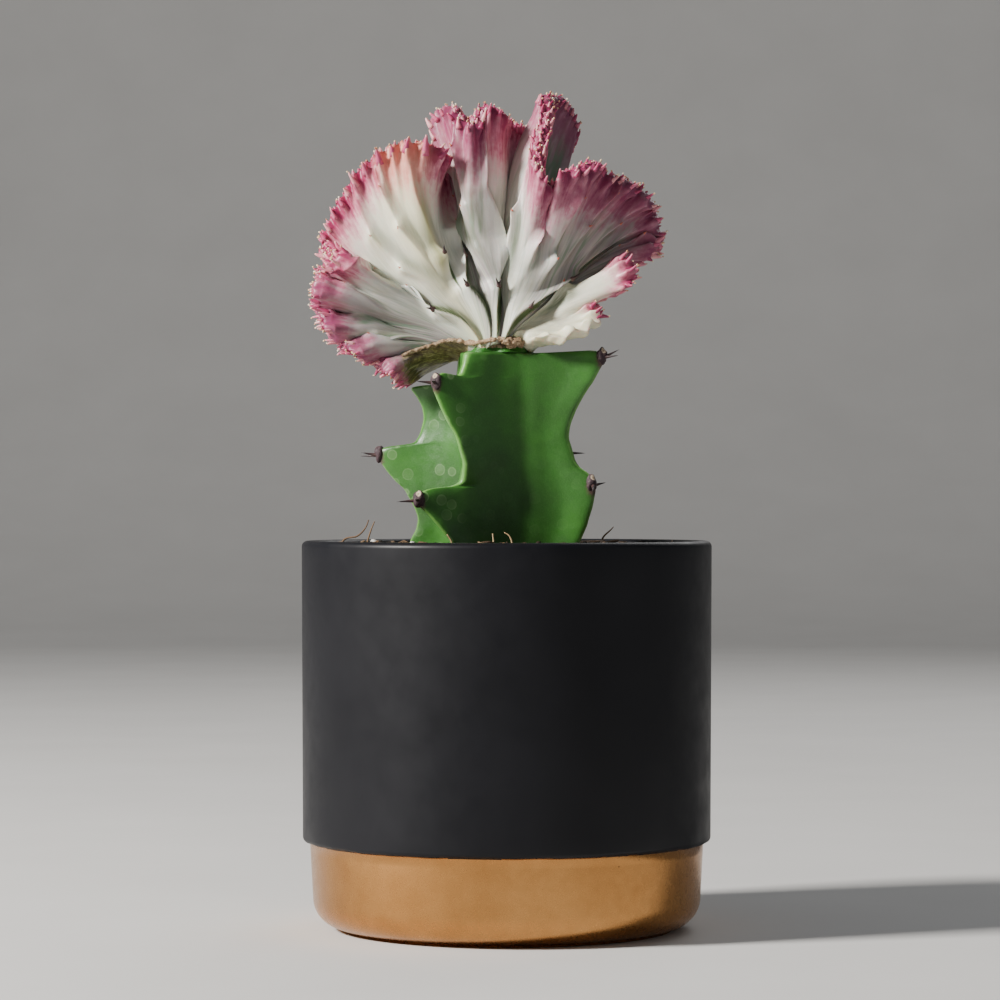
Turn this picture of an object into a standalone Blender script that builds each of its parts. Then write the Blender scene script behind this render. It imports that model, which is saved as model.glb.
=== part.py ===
"""Potted coral cactus: a crested scion grafted on a ribbed stem, in a glazed ceramic pot.

Sizes are written in millimetres times MM, so the model itself is in metres, +Z up. The origin is
on the pot's axis at the surface that it stands on, and the plant's front looks along -Y.
"""
import math
import random

import bmesh
import bpy
import numpy as np
from mathutils import Matrix, Vector
from mathutils.bvhtree import BVHTree

MM = 0.001
GAP = 0.3 * MM
OBJECT_NAME = "potted_coral_cactus"

# Pot: a straight-sided cylinder with a soft rim, black above and gold at its rounded foot.
POT_HEIGHT = 120.0 * MM
POT_RADIUS = 63.5 * MM
POT_WALL = 5.0 * MM
POT_FLOOR = 8.0 * MM
POT_INNER_FILLET = 8.0 * MM
RIM_ROUND = 1.8 * MM
GLAZE_DRAFT = 0.35 * MM
GLAZE_EDGE_HEIGHT = 27.3 * MM
GLAZE_EDGE_ROUND = 1.4 * MM
FOOT_RADIUS = 60.9 * MM
FOOT_DRAFT = 0.9 * MM
FOOT_ROUND = 9.0 * MM
FOOT_RING_HEIGHT = 0.8 * MM
FOOT_RING_OUTER = 51.6 * MM
FOOT_RING_INNER = 48.0 * MM
UNDERSIDE_RECESS = 1.5 * MM
POT_SIDES = 60

# Soil: potting mix nearly level with the rim, with a few dry root fibres standing out of it.
SOIL_HEIGHT = 119.2 * MM
SOIL_LUMP = 1.3 * MM
SOIL_SIDES = 36
SOIL_RINGS = 5
STEM_HOLE_CLEARANCE = 0.5 * MM
ROOT_RADIUS = 0.35 * MM

# Rootstock: the green stem, with five thin ribs round a core.
STEM_X = -3.0 * MM
STEM_TOP = 178.0 * MM
STEM_FOOT = 90.0 * MM
STEM_CORE = 11.5 * MM
STEM_BROAD_FACE = 13.5 * MM
RIB_TIP_HALF = 1.4 * MM
RIB_MIDDLE_HALF = 2.1 * MM
RIB_ROOT_HALF = 3.9 * MM
STEM_ROW_STEP = 4.4 * MM
STEM_ROW_MERGE = 0.55 * MM

# Graft: a corky seam on the stem's cut top, and the flat seat that is cut in the crest over it.
CALLUS_HEIGHT = 2.4 * MM
CALLUS_RADIUS = 9.5 * MM
CALLUS_BREADTH = 1.15
CALLUS_DEPTH = 0.8
CALLUS_SIDES = 28
SEAT_HEIGHT = STEM_TOP + CALLUS_HEIGHT + 2 * GAP
SEAT_RADIUS = 14.5 * MM
SEAT_SIDES = 24

# Crest: the sheet's thickness runs from its foot to its growing edge.
CREST_COLUMNS = 192
CREST_FINE = 6
CREST_REACHES = (0, 0.15, 0.30, 0.45, 0.60, 0.74, 0.855, 0.94, 1.0)
CREST_FOOT = (
    (0, (-10.2, 1.2, 178.8)), (0.1, (-8.6, -0.3, 180.4)), (0.3, (-5.6, -2.8, 180.4)),
    (0.5, (-2.6, -4.0, 180.4)), (0.7, (0.3, -4.3, 180.4)), (0.88, (3.4, -4.1, 180.4)),
    (0.95, (4.4, -4.8, 180.4)), (1, (4.2, -6.4, 180.4)),
)
CREST_HALF = ((0, 6.0), (0.15, 4.6), (0.3, 3.2), (0.6, 2.1), (0.85, 1.6), (1, 1.2))
CREST_EDGE_ROUND = 2.0 * MM
NORMAL_BLUR = ((0, 30), (0.15, 16), (0.3, 6), (0.45, 2.5), (0.74, 1), (1, 0.5))
LEAST_HALF = 0.32 * MM
FAR = 40 * MM
SHARE_OF_CLEARANCE = 0.42
SHARE_OF_BEND = 0.7
EASE_ROUNDS = 40
EASE_SHARE = 0.85
CREST_TOOTH = 2.2 * MM

# The crest's growing edge, lobe by lobe from lower left to lower right. Each place has its x, its
# depth and its height, then how far the ray that leads to it bows sideways and upwards, all in mm.
UNDER_FLAP = [
    (-30, 10, 169, 0, 1), (-33, 4, 170, 0, 1), (-34, -4, 171, 0, 2),
]
LOWER_LEFT_LOBE = [
    (-37, -12, 172, 0, 3), (-39.5, -6, 174, 0, 2), (-42.5, -4, 175.5, 0, 1.5),
    (-45, -9, 177, 0, 1), (-47.5, -13, 178.5, 0, 0.5), (-50.5, -7, 180.5, 0, 0),
    (-52, -2, 182, 0, 0), (-54.5, -9, 184.5, 0, 0), (-55.5, -13, 186, 0, 0),
    (-57, -6, 189, 0, 0), (-59, 0, 193, 0, 0), (-59, -8, 195, 0, 0),
    (-59, -14, 197, 0, 0), (-58, -8, 200.5, 0, 0), (-58.5, -4, 203.5, 0, 0),
    (-55.5, -8, 205.5, 0, 0), (-51, -13, 207, 0, 0),
]
UPPER_LEFT_LOBE = [
    (-53.5, -4, 209, -0.5, -0.5), (-57.5, 2, 211.5, -1, -1), (-57, 4, 215, -2, -2),
    (-55.5, 2, 217.5, -2.5, -2.5), (-54, 0, 221.5, -3, -3), (-51.5, -1, 225.5, -3.5, -3),
    (-49, -2, 229.5, -4, -3), (-45, -4, 234.5, -4.5, -3), (-39.5, -6, 239, -5, -3),
    (-34.5, -8, 241.5, -6, -2), (-30, -9, 242.5, -7.5, -0.5), (-25, -9, 242, -8.5, 0),
    (-21, -7, 241, -9.2, 0), (-19.5, -1, 239.5, -9, 0), (-21.5, 7, 238, -7, 0),
]
MIDDLE_LOBE = [
    (-20, 15, 237.5, -3, 0), (-19, 19, 242, 1, 0), (-21, 17.5, 248, 3, 0),
    (-21.5, 12.5, 252.5, 3, 0),
    (-20, 8, 254.5, 2, 0), (-17, 3, 255, 0, 0), (-14, -1, 251.5, -1, 0),
    (-11, -5, 247.5, -2.5, 0), (-9.5, -2, 250.5, -2.5, 0), (-8.5, 0, 254, -2, 0),
    (-5.5, 1, 254.5, -1, 0), (-2.5, 3, 253.5, -0.5, 0),
]
TALL_COLUMN = [
    (-1, 9, 251.5, 0, 0), (1.5, 18, 250.5, 0, 0), (5.5, 25, 250, 0, 0),
    (12.5, 31, 244, 0, 0), (18.5, 32, 244.5, 0, 0), (21, 29, 252.5, 0, 0),
    (19, 24, 258.0, -2, 0), (16, 19, 259.5, -5.5, 0), (13, 14, 258.5, -8.5, 0),
    (13, 8, 258.5, -8, 0), (13.5, 3, 255, -3.5, 0), (12, -1, 249, -1, 0),
    (10.5, -5, 244.5, 0, 0), (9.5, -8, 240.5, 0, 0), (10, -10, 237, 0, 0),
    (11, -11, 233.5, 0, 0), (12, -10, 230, 0, 0), (13, -6, 227.5, 0, 0),
    (15, -3, 227.5, 0, 0), (16.5, -7, 230, 0, 0), (17.5, -10, 233, 0, 0),
]
RIGHT_LOBE = [
    (20.5, -9, 234, 0, 1), (24, -6, 235.5, 0, 2), (27.5, -2, 237, 0, 2.5),
    (29.5, 2, 235.5, 0, 3), (32, 2, 233, 0, 3), (35.5, 6, 233, 0, 3.5),
    (38.5, 6, 231, 0, 4), (41, 12, 230.5, 0, 4.5), (43.5, 11, 228, 0, 5),
    (46.5, 17, 225, 0, 5.5), (47.5, 16, 220, 0, 6), (49, 19, 215, 0, 7),
    (48, 15, 212, 0, 7.5), (45.5, 9, 210, 0, 7.5), (43, 12, 208.5, 0, 7),
    (40.5, 14, 207.5, 0, 6.5),
]
LOWER_RIGHT_LOBES = [
    (36.5, 8, 205, 0, 2), (36.5, -1, 206.5, 0, 2), (38.5, -7, 205, 0, 1.5),
    (39.5, -9, 203, 0, 1.5), (38, -9, 199.5, 0, 1.5), (34.5, -8, 198.2, 0, 1.5),
    (31, -5.5, 198, 0, 1.2), (28.2, -4.5, 194.5, 0, 0), (27, -6.5, 191.8, 0, 0),
    (28.5, -9.5, 190, 0, 0), (28, -11.5, 187.5, 0, 0), (25, -14, 185.5, 0, -0.5),
    (20, -16, 183.5, 0, -0.5), (14, -17, 182.5, 0, -0.5), (8.5, -16, 182.5, 0, 0),
]
CREST_EDGE = (UNDER_FLAP + LOWER_LEFT_LOBE + UPPER_LEFT_LOBE + MIDDLE_LOBE + TALL_COLUMN
              + RIGHT_LOBE + LOWER_RIGHT_LOBES)

# The folds of the edge fade towards the graft: the blur along the edge, in mm, at each reach.
FOLD_BLUR = ((0, 45), (0.2, 30), (0.35, 18), (0.5, 10), (0.7, 5), (0.85, 2.2), (1, 0.5))

# Ribs on the crest's front. line: share of the edge at each reach; height in mm at each reach;
# sides: half widths in mm towards the lower and the higher share; spines: reaches.
FRONT_RIBS = [
    {"line": ((0, 0.330), (0.17, 0.30), (0.33, 0.252), (0.68, 0.253), (0.87, 0.232), (1, 0.205)),
     "height": ((0, 0.5), (0.2, 1.5), (0.33, 3.8), (0.37, 2.4), (0.5, 4.0), (0.54, 2.4),
                (0.68, 4.2), (0.73, 3.0), (1, 1.0)),
     "sides": (3.5, 8.0), "spines": (0.33, 0.50, 0.68)},
    {"line": ((0, 0.370), (0.22, 0.364), (0.38, 0.316), (0.53, 0.297), (0.75, 0.290), (1, 0.295)),
     "height": ((0, 0), (0.3, 0.6), (0.53, 2.6), (0.57, 1.0), (0.75, 2.4), (0.8, 1.2), (1, 1.6)),
     "sides": (6.0, 4.0), "spines": (0.53, 0.75)},
    {"line": ((0, 0.350), (0.43, 0.329), (0.67, 0.316), (0.87, 0.3125), (1, 0.311)),
     "height": ((0, 0), (0.4, 0.6), (0.67, 2.6), (0.71, 1.2), (0.87, 2.2), (1, 1.8)),
     "sides": (5.0, 4.0), "spines": (0.67, 0.87)},
    {"line": ((0, 0.370), (0.47, 0.346), (0.75, 0.337), (1, 0.333)),
     "height": ((0, 0), (0.35, 0.6), (0.47, 3.2), (0.52, 1.4), (0.68, 1.6), (1, 1.2)),
     "sides": (5.0, 3.0), "spines": (0.47,)},
    {"line": ((0, 0.450), (0.07, 0.440), (0.28, 0.376), (0.42, 0.392), (0.60, 0.383),
              (0.67, 0.396), (1, 0.404)),
     "height": ((0, 0.8), (0.2, 2.4), (0.28, 5.0), (0.32, 3.0), (0.42, 4.6), (0.47, 2.8),
                (0.6, 5.5), (0.65, 3.0), (0.87, 2.6), (1, 1.0)),
     "sides": (7.0, 3.4), "spines": (0.28, 0.42, 0.60)},
    {"line": ((0, 0.470), (0.2, 0.464), (0.45, 0.448), (0.77, 0.430), (1, 0.427)),
     "height": ((0, 0), (0.3, 0.6), (0.5, 1.4), (0.8, 1.8), (1, 2.4)),
     "sides": (4.0, 4.0), "spines": (0.8,)},
    {"line": ((0, 0.560), (0.05, 0.530), (0.23, 0.481), (0.42, 0.500), (0.68, 0.478), (1, 0.487)),
     "height": ((0, 1.0), (0.15, 3.0), (0.23, 5.4), (0.28, 3.2), (0.42, 5.0), (0.48, 3.2),
                (0.7, 3.4), (1, 1.0)),
     "sides": (9.0, 3.4), "spines": (0.23, 0.42)},
    {"line": ((0, 0.600), (0.3, 0.655), (0.63, 0.663), (1, 0.660)),
     "height": ((0, 0), (0.3, 0.6), (0.63, 3.4), (0.68, 1.8), (1, 1.0)),
     "sides": (7.0, 4.0), "spines": (0.63,)},
    {"line": ((0, 0.700), (0.05, 0.720), (0.2, 0.758), (0.38, 0.800), (0.6, 0.811), (1, 0.826)),
     "height": ((0, 0.8), (0.2, 3.2), (0.25, 2.2), (0.38, 4.4), (0.43, 2.8), (0.6, 3.4), (1, 1.0)),
     "sides": (9.0, 3.0), "spines": (0.20, 0.38)},
    {"line": ((0, 0.840), (0.3, 0.890), (0.7, 0.904), (1, 0.910)),
     "height": ((0, 0.5), (0.3, 2.0), (0.52, 3.2), (0.58, 1.6), (1, 1.0)),
     "sides": (4.0, 4.0), "spines": (0.52,)},
    {"line": ((0, 0.140), (0.5, 0.155), (1, 0.160)),
     "height": ((0, 0), (0.4, 0.6), (0.75, 2.2), (1, 1.0)),
     "sides": (6.0, 5.0), "spines": (0.75,)},
    {"line": ((0, 0.100), (0.5, 0.113), (1, 0.118)),
     "height": ((0, 0), (0.4, 0.5), (0.7, 2.4), (0.75, 1.2), (1, 1.0)),
     "sides": (5.0, 4.0), "spines": (0.7,)},
]
BACK_RIBS = 13
BACK_RIB_HEIGHT = 3.6
BACK_RIB_SIDES = (5.0, 5.0)
BACK_SPINE_REACHES = (0.45, 0.74)
CREST_SPINE_LENGTH = 2.6 * MM
CREST_SPINE_RADIUS = 0.75 * MM

# Outline of each stem rib from top to bottom: height, reach from the stem's axis, and azimuth in
# degrees from +X towards +Y. A tubercle juts out just under each shelf.
STEM_RIBS = {
    "left": [
        (178, 12, 172), (168.8, 13, 170), (168.3, 24, 169), (167.6, 28, 168), (165, 26, 167),
        (161.5, 24, 167), (158, 23.5, 167), (153.5, 24.5, 167), (150.4, 26.2, 168),
        (149.8, 30, 168), (149.2, 35, 168), (148.4, 37.5, 168), (146.5, 38.5, 168),
        (144, 37, 168), (139, 33, 168), (136, 29.5, 169), (131, 26.5, 170), (127, 25, 170),
        (123.5, 25.5, 170), (119.5, 28, 168), (116, 27, 168), (112, 15, 168), (108, 12.5, 168),
    ],
    "front_left": [
        (178, 15.5, 232), (174.5, 17, 234), (170.6, 18.5, 232), (170.3, 22, 228), (170, 25, 225),
        (168.5, 26.8, 224), (166.5, 27.5, 224), (160.5, 25.5, 228), (156, 24, 232),
        (152.5, 22.5, 236), (149, 22, 239), (143.5, 20.5, 242), (138, 19.8, 238),
        (136.8, 21.5, 231), (136.4, 26, 226), (135.8, 29.5, 223), (134, 32.5, 222),
        (131.5, 33, 222), (127.5, 29.5, 226), (124, 27, 230), (119.5, 24, 235),
        (116, 22, 236), (112, 15, 237), (108, 12.5, 237),
    ],
    "right": [
        (178, 12, 344), (177.6, 20, 344), (177.2, 30, 343), (176.4, 34, 342), (174, 35, 342),
        (168.5, 31.5, 341), (164.5, 28, 341), (160, 25.5, 341), (156, 24, 341),
        (152, 23.5, 341), (148, 24.5, 341), (144.5, 25.5, 341), (142.5, 27, 342),
        (141.5, 29, 342), (139.5, 31, 342), (135.5, 32, 342), (133, 31.5, 342),
        (130, 31, 342), (125.5, 29.5, 342), (119.5, 27, 341), (116, 25, 341), (112, 15, 341),
        (108, 12.5, 341),
    ],
    "back_right": [
        (178, 12, 42), (175.8, 13, 42), (175.2, 20, 41), (174.6, 26, 40), (172, 28, 40),
        (166, 25.5, 40), (160, 23, 41), (154, 22, 42), (151, 22.5, 41), (150.2, 25, 40),
        (149.5, 28.5, 40), (147, 30, 40), (143, 28, 40), (137, 24.5, 42), (130, 23.5, 43),
        (124, 24.5, 42), (119.5, 26, 40), (116, 24, 40), (112, 15, 40), (108, 12.5, 40),
    ],
    "back": [
        (178, 12, 106), (172, 13, 106), (171.3, 18, 106), (170.6, 26, 105), (168, 28.5, 105),
        (164, 27.5, 105), (157, 24, 107), (150, 22, 109), (142, 21.5, 109), (138, 22, 107),
        (137.4, 26, 105), (136.8, 30, 104), (133, 31.5, 104), (129, 29.5, 105),
        (124, 26.5, 107), (119.5, 26, 106), (116, 24, 106), (112, 15, 106), (108, 12.5, 106),
    ],
}
# Where a rib's outer part stands higher than its root: the lift, the height where it is greatest,
# the height over which it fades, and the reaches between which it grows, all in mm.
RIB_LIFTS = {
    "right": (2.0, 178.0, 14.0, 13.5, 33.5),
    "front_left": (1.6, 170.5, 3.5, 19.0, 24.0),
}
# Each areole: its rib, its height, and the spines on it as sideways, outwards and upwards parts
# with a length in mm.
AREOLES = [
    ("left", 147.0, [((-0.25, 1, -0.05), 6.5), ((0.3, 1, 0.16), 5.5)]),
    ("front_left", 168.2, [((-0.5, 1, 0.1), 6.0), ((0.6, 1, 0.1), 5.0)]),
    ("front_left", 132.8, [((-0.5, 1, -0.06), 6.5), ((0.7, 1, 0.1), 4.5)]),
    ("right", 175.2, [((0.25, 1, 0.5), 5.5), ((-0.2, 1, 0.1), 5.5)]),
    ("right", 137.6, [((0.9, 0.9, 0.25), 4.0), ((-1, 0.25, -0.35), 6.0)]),
    ("back_right", 172.6, [((0.5, 1, 0.2), 5.0), ((-0.5, 1, 0.1), 5.0)]),
    ("back_right", 147.8, [((0.5, 1, 0.1), 5.5), ((-0.5, 1, 0), 5.5)]),
    ("back", 168.6, [((0.5, 1, 0.1), 5.5), ((-0.5, 1, 0.1), 5.0)]),
    ("back", 134.4, [((0.5, 1, 0), 5.5), ((-0.5, 1, 0.1), 5.5)]),
]
AREOLE_RADIUS = 2.2 * MM
STEM_SPINE_RADIUS = 0.8 * MM

# Dry root fibres, each a run of places in mm above the soil.
ROOT_FIBRES = [
    [(-52, -8, 116), (-50, -8, 120.5), (-46, -9, 121.5), (-43.5, -9, 124), (-42.5, -9, 126.5)],
    [(-43.5, -6, 116), (-43, -6, 119.5), (-42, -6, 123), (-40.8, -6, 126)],
    [(-4, -34, 116), (-4, -34, 119.5), (-4.3, -34, 122.5)],
    [(1.6, -30, 116), (1.6, -30, 119.5), (0.7, -30, 121.8), (-0.8, -30, 122.8)],
    [(-17, -36, 116), (-16.6, -36, 119.8), (-18, -36, 122.3)],
    [(30, 24, 116), (30.5, 25, 120.5), (33, 27, 123), (34, 30, 124)],
]


def clear_scene():
    """Start from an empty scene."""
    for item in list(bpy.data.objects):
        bpy.data.objects.remove(item)


def new_collection(name):
    """A collection linked to the scene."""
    group = bpy.data.collections.new(name)
    bpy.context.scene.collection.children.link(group)
    return group


def material(name, colour, roughness, metallic=0.0):
    """A Principled material with a plain colour and finish."""
    made = bpy.data.materials.new(name)
    made.use_nodes = True
    shader = made.node_tree.nodes["Principled BSDF"]
    shader.inputs["Base Color"].default_value = (*colour, 1.0)
    shader.inputs["Roughness"].default_value = roughness
    shader.inputs["Metallic"].default_value = metallic
    return made


def new_object(name, mesh, group, finish):
    """Link a mesh as an object in a collection, smooth shaded, with its material."""
    made = bpy.data.objects.new(name, mesh)
    group.objects.link(made)
    mesh.materials.append(finish)
    mesh.shade_smooth()
    return made


def lofted_mesh(name, rows):
    """A closed mesh of triangles through rings of places, capped at both ends."""
    rows = np.array(rows)
    height, width = rows.shape[:2]
    faces = [tuple(range(width - 1, -1, -1))]
    for i in range(height - 1):
        for j in range(width):
            k = (j + 1) % width
            faces.append((i * width + j, i * width + k, (i + 1) * width + k, (i + 1) * width + j))
    faces.append(tuple(range((height - 1) * width, height * width)))
    mesh = bpy.data.meshes.new(name)
    mesh.from_pydata(rows.reshape(-1, 3).tolist(), [], faces)
    split = bmesh.new()
    split.from_mesh(mesh)
    bmesh.ops.triangulate(split, faces=split.faces)
    split.to_mesh(mesh)
    split.free()
    return mesh


def fuse(base, pieces):
    """Join loose pieces to the base by one Boolean union, then drop them."""
    for item in pieces.objects:
        item.hide_render = True
        item.display_type = "WIRE"
    join = base.modifiers.new("fuse", "BOOLEAN")
    join.operation = "UNION"
    join.operand_type = "COLLECTION"
    join.collection = pieces
    join.solver = "EXACT"
    apply_modifiers(base)
    for item in list(pieces.objects):
        bpy.data.objects.remove(item)


def apply_modifiers(item):
    """Replace an object's mesh with its evaluated mesh."""
    graph = bpy.context.evaluated_depsgraph_get()
    made = bpy.data.meshes.new_from_object(item.evaluated_get(graph))
    item.modifiers.clear()
    item.data = made


def arc(centre, radius, start, end, steps):
    """Places on a circle in the turned profile's plane, angles in degrees."""
    return [(centre[0] + radius * math.cos(math.radians(start + (end - start) * k / steps)),
             centre[1] + radius * math.sin(math.radians(start + (end - start) * k / steps)))
            for k in range(steps + 1)]


def turned_object(name, profile, sides, group, finish):
    """Turn a profile round the Z axis."""
    mesh = bpy.data.meshes.new(name)
    edges = [(k, k + 1) for k in range(len(profile) - 1)]
    mesh.from_pydata([(x, 0.0, z) for x, z in profile], edges, [])
    made = bpy.data.objects.new(name, mesh)
    group.objects.link(made)
    mesh.materials.append(finish)
    turn = made.modifiers.new("turn", "SCREW")
    turn.steps = sides
    turn.render_steps = sides
    turn.use_merge_vertices = True
    turn.merge_threshold = 0.00001
    turn.use_smooth_shade = True
    return made


def pot_inner_profile(offset):
    """The pot's inside from the floor's centre up to the wall, drawn in by an offset."""
    inner = POT_RADIUS - POT_WALL
    fillet = POT_INNER_FILLET - offset
    centre = (inner - POT_INNER_FILLET, POT_FLOOR + POT_INNER_FILLET)
    return [(0.0, POT_FLOOR + offset)] + arc(centre, fillet, -90, 0, 3)


def make_pot(group):
    """One ceramic body: rim, black wall, the glaze's rounded edge, gold foot and foot ring."""
    inner = POT_RADIUS - POT_WALL
    wall_foot = POT_RADIUS - GLAZE_DRAFT
    rim_top = POT_HEIGHT - RIM_ROUND
    profile = [(0.0, UNDERSIDE_RECESS), (FOOT_RING_INNER - 1.5 * MM, UNDERSIDE_RECESS)]
    profile += [(FOOT_RING_INNER, 0.0), (FOOT_RING_OUTER, 0.0)]
    profile += [(FOOT_RING_OUTER + 0.2 * MM, FOOT_RING_HEIGHT)]
    foot_side = FOOT_RADIUS - FOOT_DRAFT
    profile += arc((foot_side - FOOT_ROUND, FOOT_RING_HEIGHT + FOOT_ROUND), FOOT_ROUND, -86, 0, 5)
    profile += [(FOOT_RADIUS, GLAZE_EDGE_HEIGHT - 0.4 * MM)]
    profile += arc((wall_foot - GLAZE_EDGE_ROUND, GLAZE_EDGE_HEIGHT + GLAZE_EDGE_ROUND),
                   GLAZE_EDGE_ROUND, -90, 0, 3)
    profile += arc((POT_RADIUS - RIM_ROUND, rim_top), RIM_ROUND, 0, 90, 3)
    profile += arc((inner + RIM_ROUND, rim_top), RIM_ROUND, 90, 180, 2)
    profile += pot_inner_profile(0.0)[::-1]
    profile.reverse()
    black = material("black_glaze", (0.012, 0.012, 0.014), 0.45)
    pot = turned_object("pot", profile, POT_SIDES, group, black)
    apply_modifiers(pot)
    pot.data.materials.append(material("gold_foot", (0.55, 0.30, 0.12), 0.35, 1.0))
    for face in pot.data.polygons:
        outside = math.hypot(face.center.x, face.center.y) > FOOT_RING_OUTER
        if outside and face.center.z < GLAZE_EDGE_HEIGHT and face.normal.z < 0.5:
            face.material_index = 1
    return pot


def rib_lift(name, height, reach):
    """How much higher a rib's outer part stands than its level row."""
    if name not in RIB_LIFTS:
        return 0.0
    lift, top, fade, start, end = [value * MM for value in RIB_LIFTS[name]]
    level = max(0.0, 1 - abs(height - top) / fade)
    return lift * level * min(1.0, max(0.0, (reach - start) / (end - start)))


def stem_ring(height, grow):
    """One level ring of the stem: the five ribs' tips and flanks, and the valleys between."""
    ribs = []
    for name, outline in STEM_RIBS.items():
        heights = [key[0] for key in outline][::-1]
        reach = np.interp(height / MM, heights, [key[1] for key in outline][::-1]) * MM
        azimuth = np.interp(height / MM, heights, [key[2] for key in outline][::-1])
        ribs.append((math.radians(azimuth), reach, name))
    ribs.sort()
    places = []
    for k, (azimuth, reach, name) in enumerate(ribs):
        depth = max(reach - STEM_CORE, 0.6 * MM)
        tip = STEM_CORE + depth + grow
        shoulder = tip - min(1.0 * MM, 0.25 * depth)
        flank = [(shoulder, RIB_TIP_HALF + grow), (STEM_CORE + 0.55 * depth, RIB_MIDDLE_HALF + grow),
                 (STEM_CORE + 0.12 * depth + 0.5 * grow, RIB_ROOT_HALF + grow)]
        low = [(r, -math.atan2(w, r)) for r, w in reversed(flank)]
        high = [(r, math.atan2(w, r)) for r, w in flank]
        following = ribs[(k + 1) % len(ribs)][0]
        gap = (following - azimuth) % (2 * math.pi)
        broad = gap > math.radians(90)
        side = math.atan2(flank[2][1], flank[2][0])
        shares = (0.25, 0.5, 0.75) if broad else (0.5,)
        valley_reach = (STEM_BROAD_FACE if broad else STEM_CORE) + grow
        valley = [(valley_reach, side + (gap - 2 * side) * share) for share in shares]
        for r, turn in low + [(tip, 0.0)] + high + valley:
            angle = azimuth + turn
            lifted = height + rib_lift(name, height, r)
            places.append((STEM_X + r * math.cos(angle), r * math.sin(angle), lifted))
    return places


def stem_heights():
    """Rows at every shelf of a rib, and between those no further apart than one step."""
    keys = {STEM_FOOT, 108 * MM, 112 * MM, STEM_TOP}
    for outline in STEM_RIBS.values():
        for upper, lower in zip(outline, outline[1:]):
            if abs(upper[1] - lower[1]) > 2 * abs(upper[0] - lower[0]):
                keys.update((upper[0] * MM, lower[0] * MM))
    merged = []
    for key in sorted(keys):
        if not merged or key - merged[-1] > STEM_ROW_MERGE:
            merged.append(key)
    rows = [merged[0]]
    for low, high in zip(merged[1:], merged[2:]):
        steps = max(1, math.ceil((high - low) / STEM_ROW_STEP))
        rows += [low + (high - low) * k / steps for k in range(steps)]
    return rows + [merged[-1]]


def stem_body(name, grow, top):
    """The ribbed stem as a mesh up to a height, grown by a clearance if it is to be a cutter."""
    heights = [h for h in stem_heights() if h < top]
    mesh = lofted_mesh(name, [stem_ring(h, grow) for h in heights + [top]])
    if grow:
        for vertex in mesh.vertices:
            if vertex.co.z < STEM_FOOT + 1 * MM:
                vertex.co.z -= grow
    return mesh


def frame_at(place, outward, sideways):
    """A matrix at a place whose Z looks outward and whose X looks sideways."""
    z_axis = outward.normalized()
    x_axis = (sideways - z_axis * sideways.dot(z_axis)).normalized()
    y_axis = z_axis.cross(x_axis)
    made = Matrix((x_axis, y_axis, z_axis)).transposed().to_4x4()
    made.translation = place
    return made


def add_spine(group, place, direction, length, radius, sides=4):
    """A slim cone with its root sunk below the place."""
    mesh = bpy.data.meshes.new("spine")
    spine = bmesh.new()
    sunk = 0.35 * length
    bmesh.ops.create_cone(spine, cap_ends=True, segments=sides, radius1=radius,
                          radius2=0.12 * radius, depth=length + sunk)
    bmesh.ops.translate(spine, verts=spine.verts, vec=(0, 0, (length - sunk) / 2))
    direction = Vector(direction).normalized()
    side = Vector((0.3, 0.5, 1.0)).cross(direction)
    spine.transform(frame_at(Vector(place), direction, side))
    spine.to_mesh(mesh)
    spine.free()
    made = bpy.data.objects.new("spine", mesh)
    group.objects.link(made)


def add_areole(group, rib, height, spines):
    """A flattened pad on a rib's edge with its pair of spines."""
    outline = STEM_RIBS[rib][::-1]
    heights = [key[0] for key in outline]
    reach = np.interp(height, heights, [key[1] for key in outline]) * MM
    azimuth = math.radians(np.interp(height, heights, [key[2] for key in outline]))
    outward = Vector((math.cos(azimuth), math.sin(azimuth), 0.0))
    sideways = Vector((-math.sin(azimuth), math.cos(azimuth), 0.0))
    lifted = height * MM + rib_lift(rib, height * MM, reach)
    place = Vector((STEM_X, 0, lifted)) + outward * (reach - 0.3 * AREOLE_RADIUS)
    pad = bmesh.new()
    bmesh.ops.create_uvsphere(pad, u_segments=8, v_segments=5, radius=AREOLE_RADIUS)
    bmesh.ops.scale(pad, vec=(0.8, 1.25, 0.65), verts=pad.verts)
    pad.transform(frame_at(place, outward, sideways))
    mesh = bpy.data.meshes.new("areole")
    pad.to_mesh(mesh)
    pad.free()
    made = bpy.data.objects.new("areole", mesh)
    group.objects.link(made)
    for (along, out, up), length in spines:
        direction = sideways * along + outward * out + Vector((0, 0, up))
        add_spine(group, place + outward * 0.2 * MM, direction, length * MM, STEM_SPINE_RADIUS)


def make_rootstock(group, finish):
    """The ribbed stem with its areoles and spines fused on."""
    stem = new_object("rootstock", stem_body("rootstock", 0.0, STEM_TOP), group, finish)
    loose = new_collection("stem_spines")
    for rib, height, spines in AREOLES:
        add_areole(loose, rib, height, spines)
    fuse(stem, loose)
    bpy.data.collections.remove(loose)
    return stem


def soil_lumps(x, y):
    """Height of the soil's surface over its level, from a few crossed waves."""
    x = x / MM
    y = y / MM
    waves = math.sin(0.31 * x + 1.1) * math.cos(0.27 * y) + 0.6 * math.sin(0.73 * x - 0.52 * y)
    return SOIL_LUMP * (0.5 * waves + 0.25 * math.sin(1.3 * y + 0.9 * x))


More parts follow.
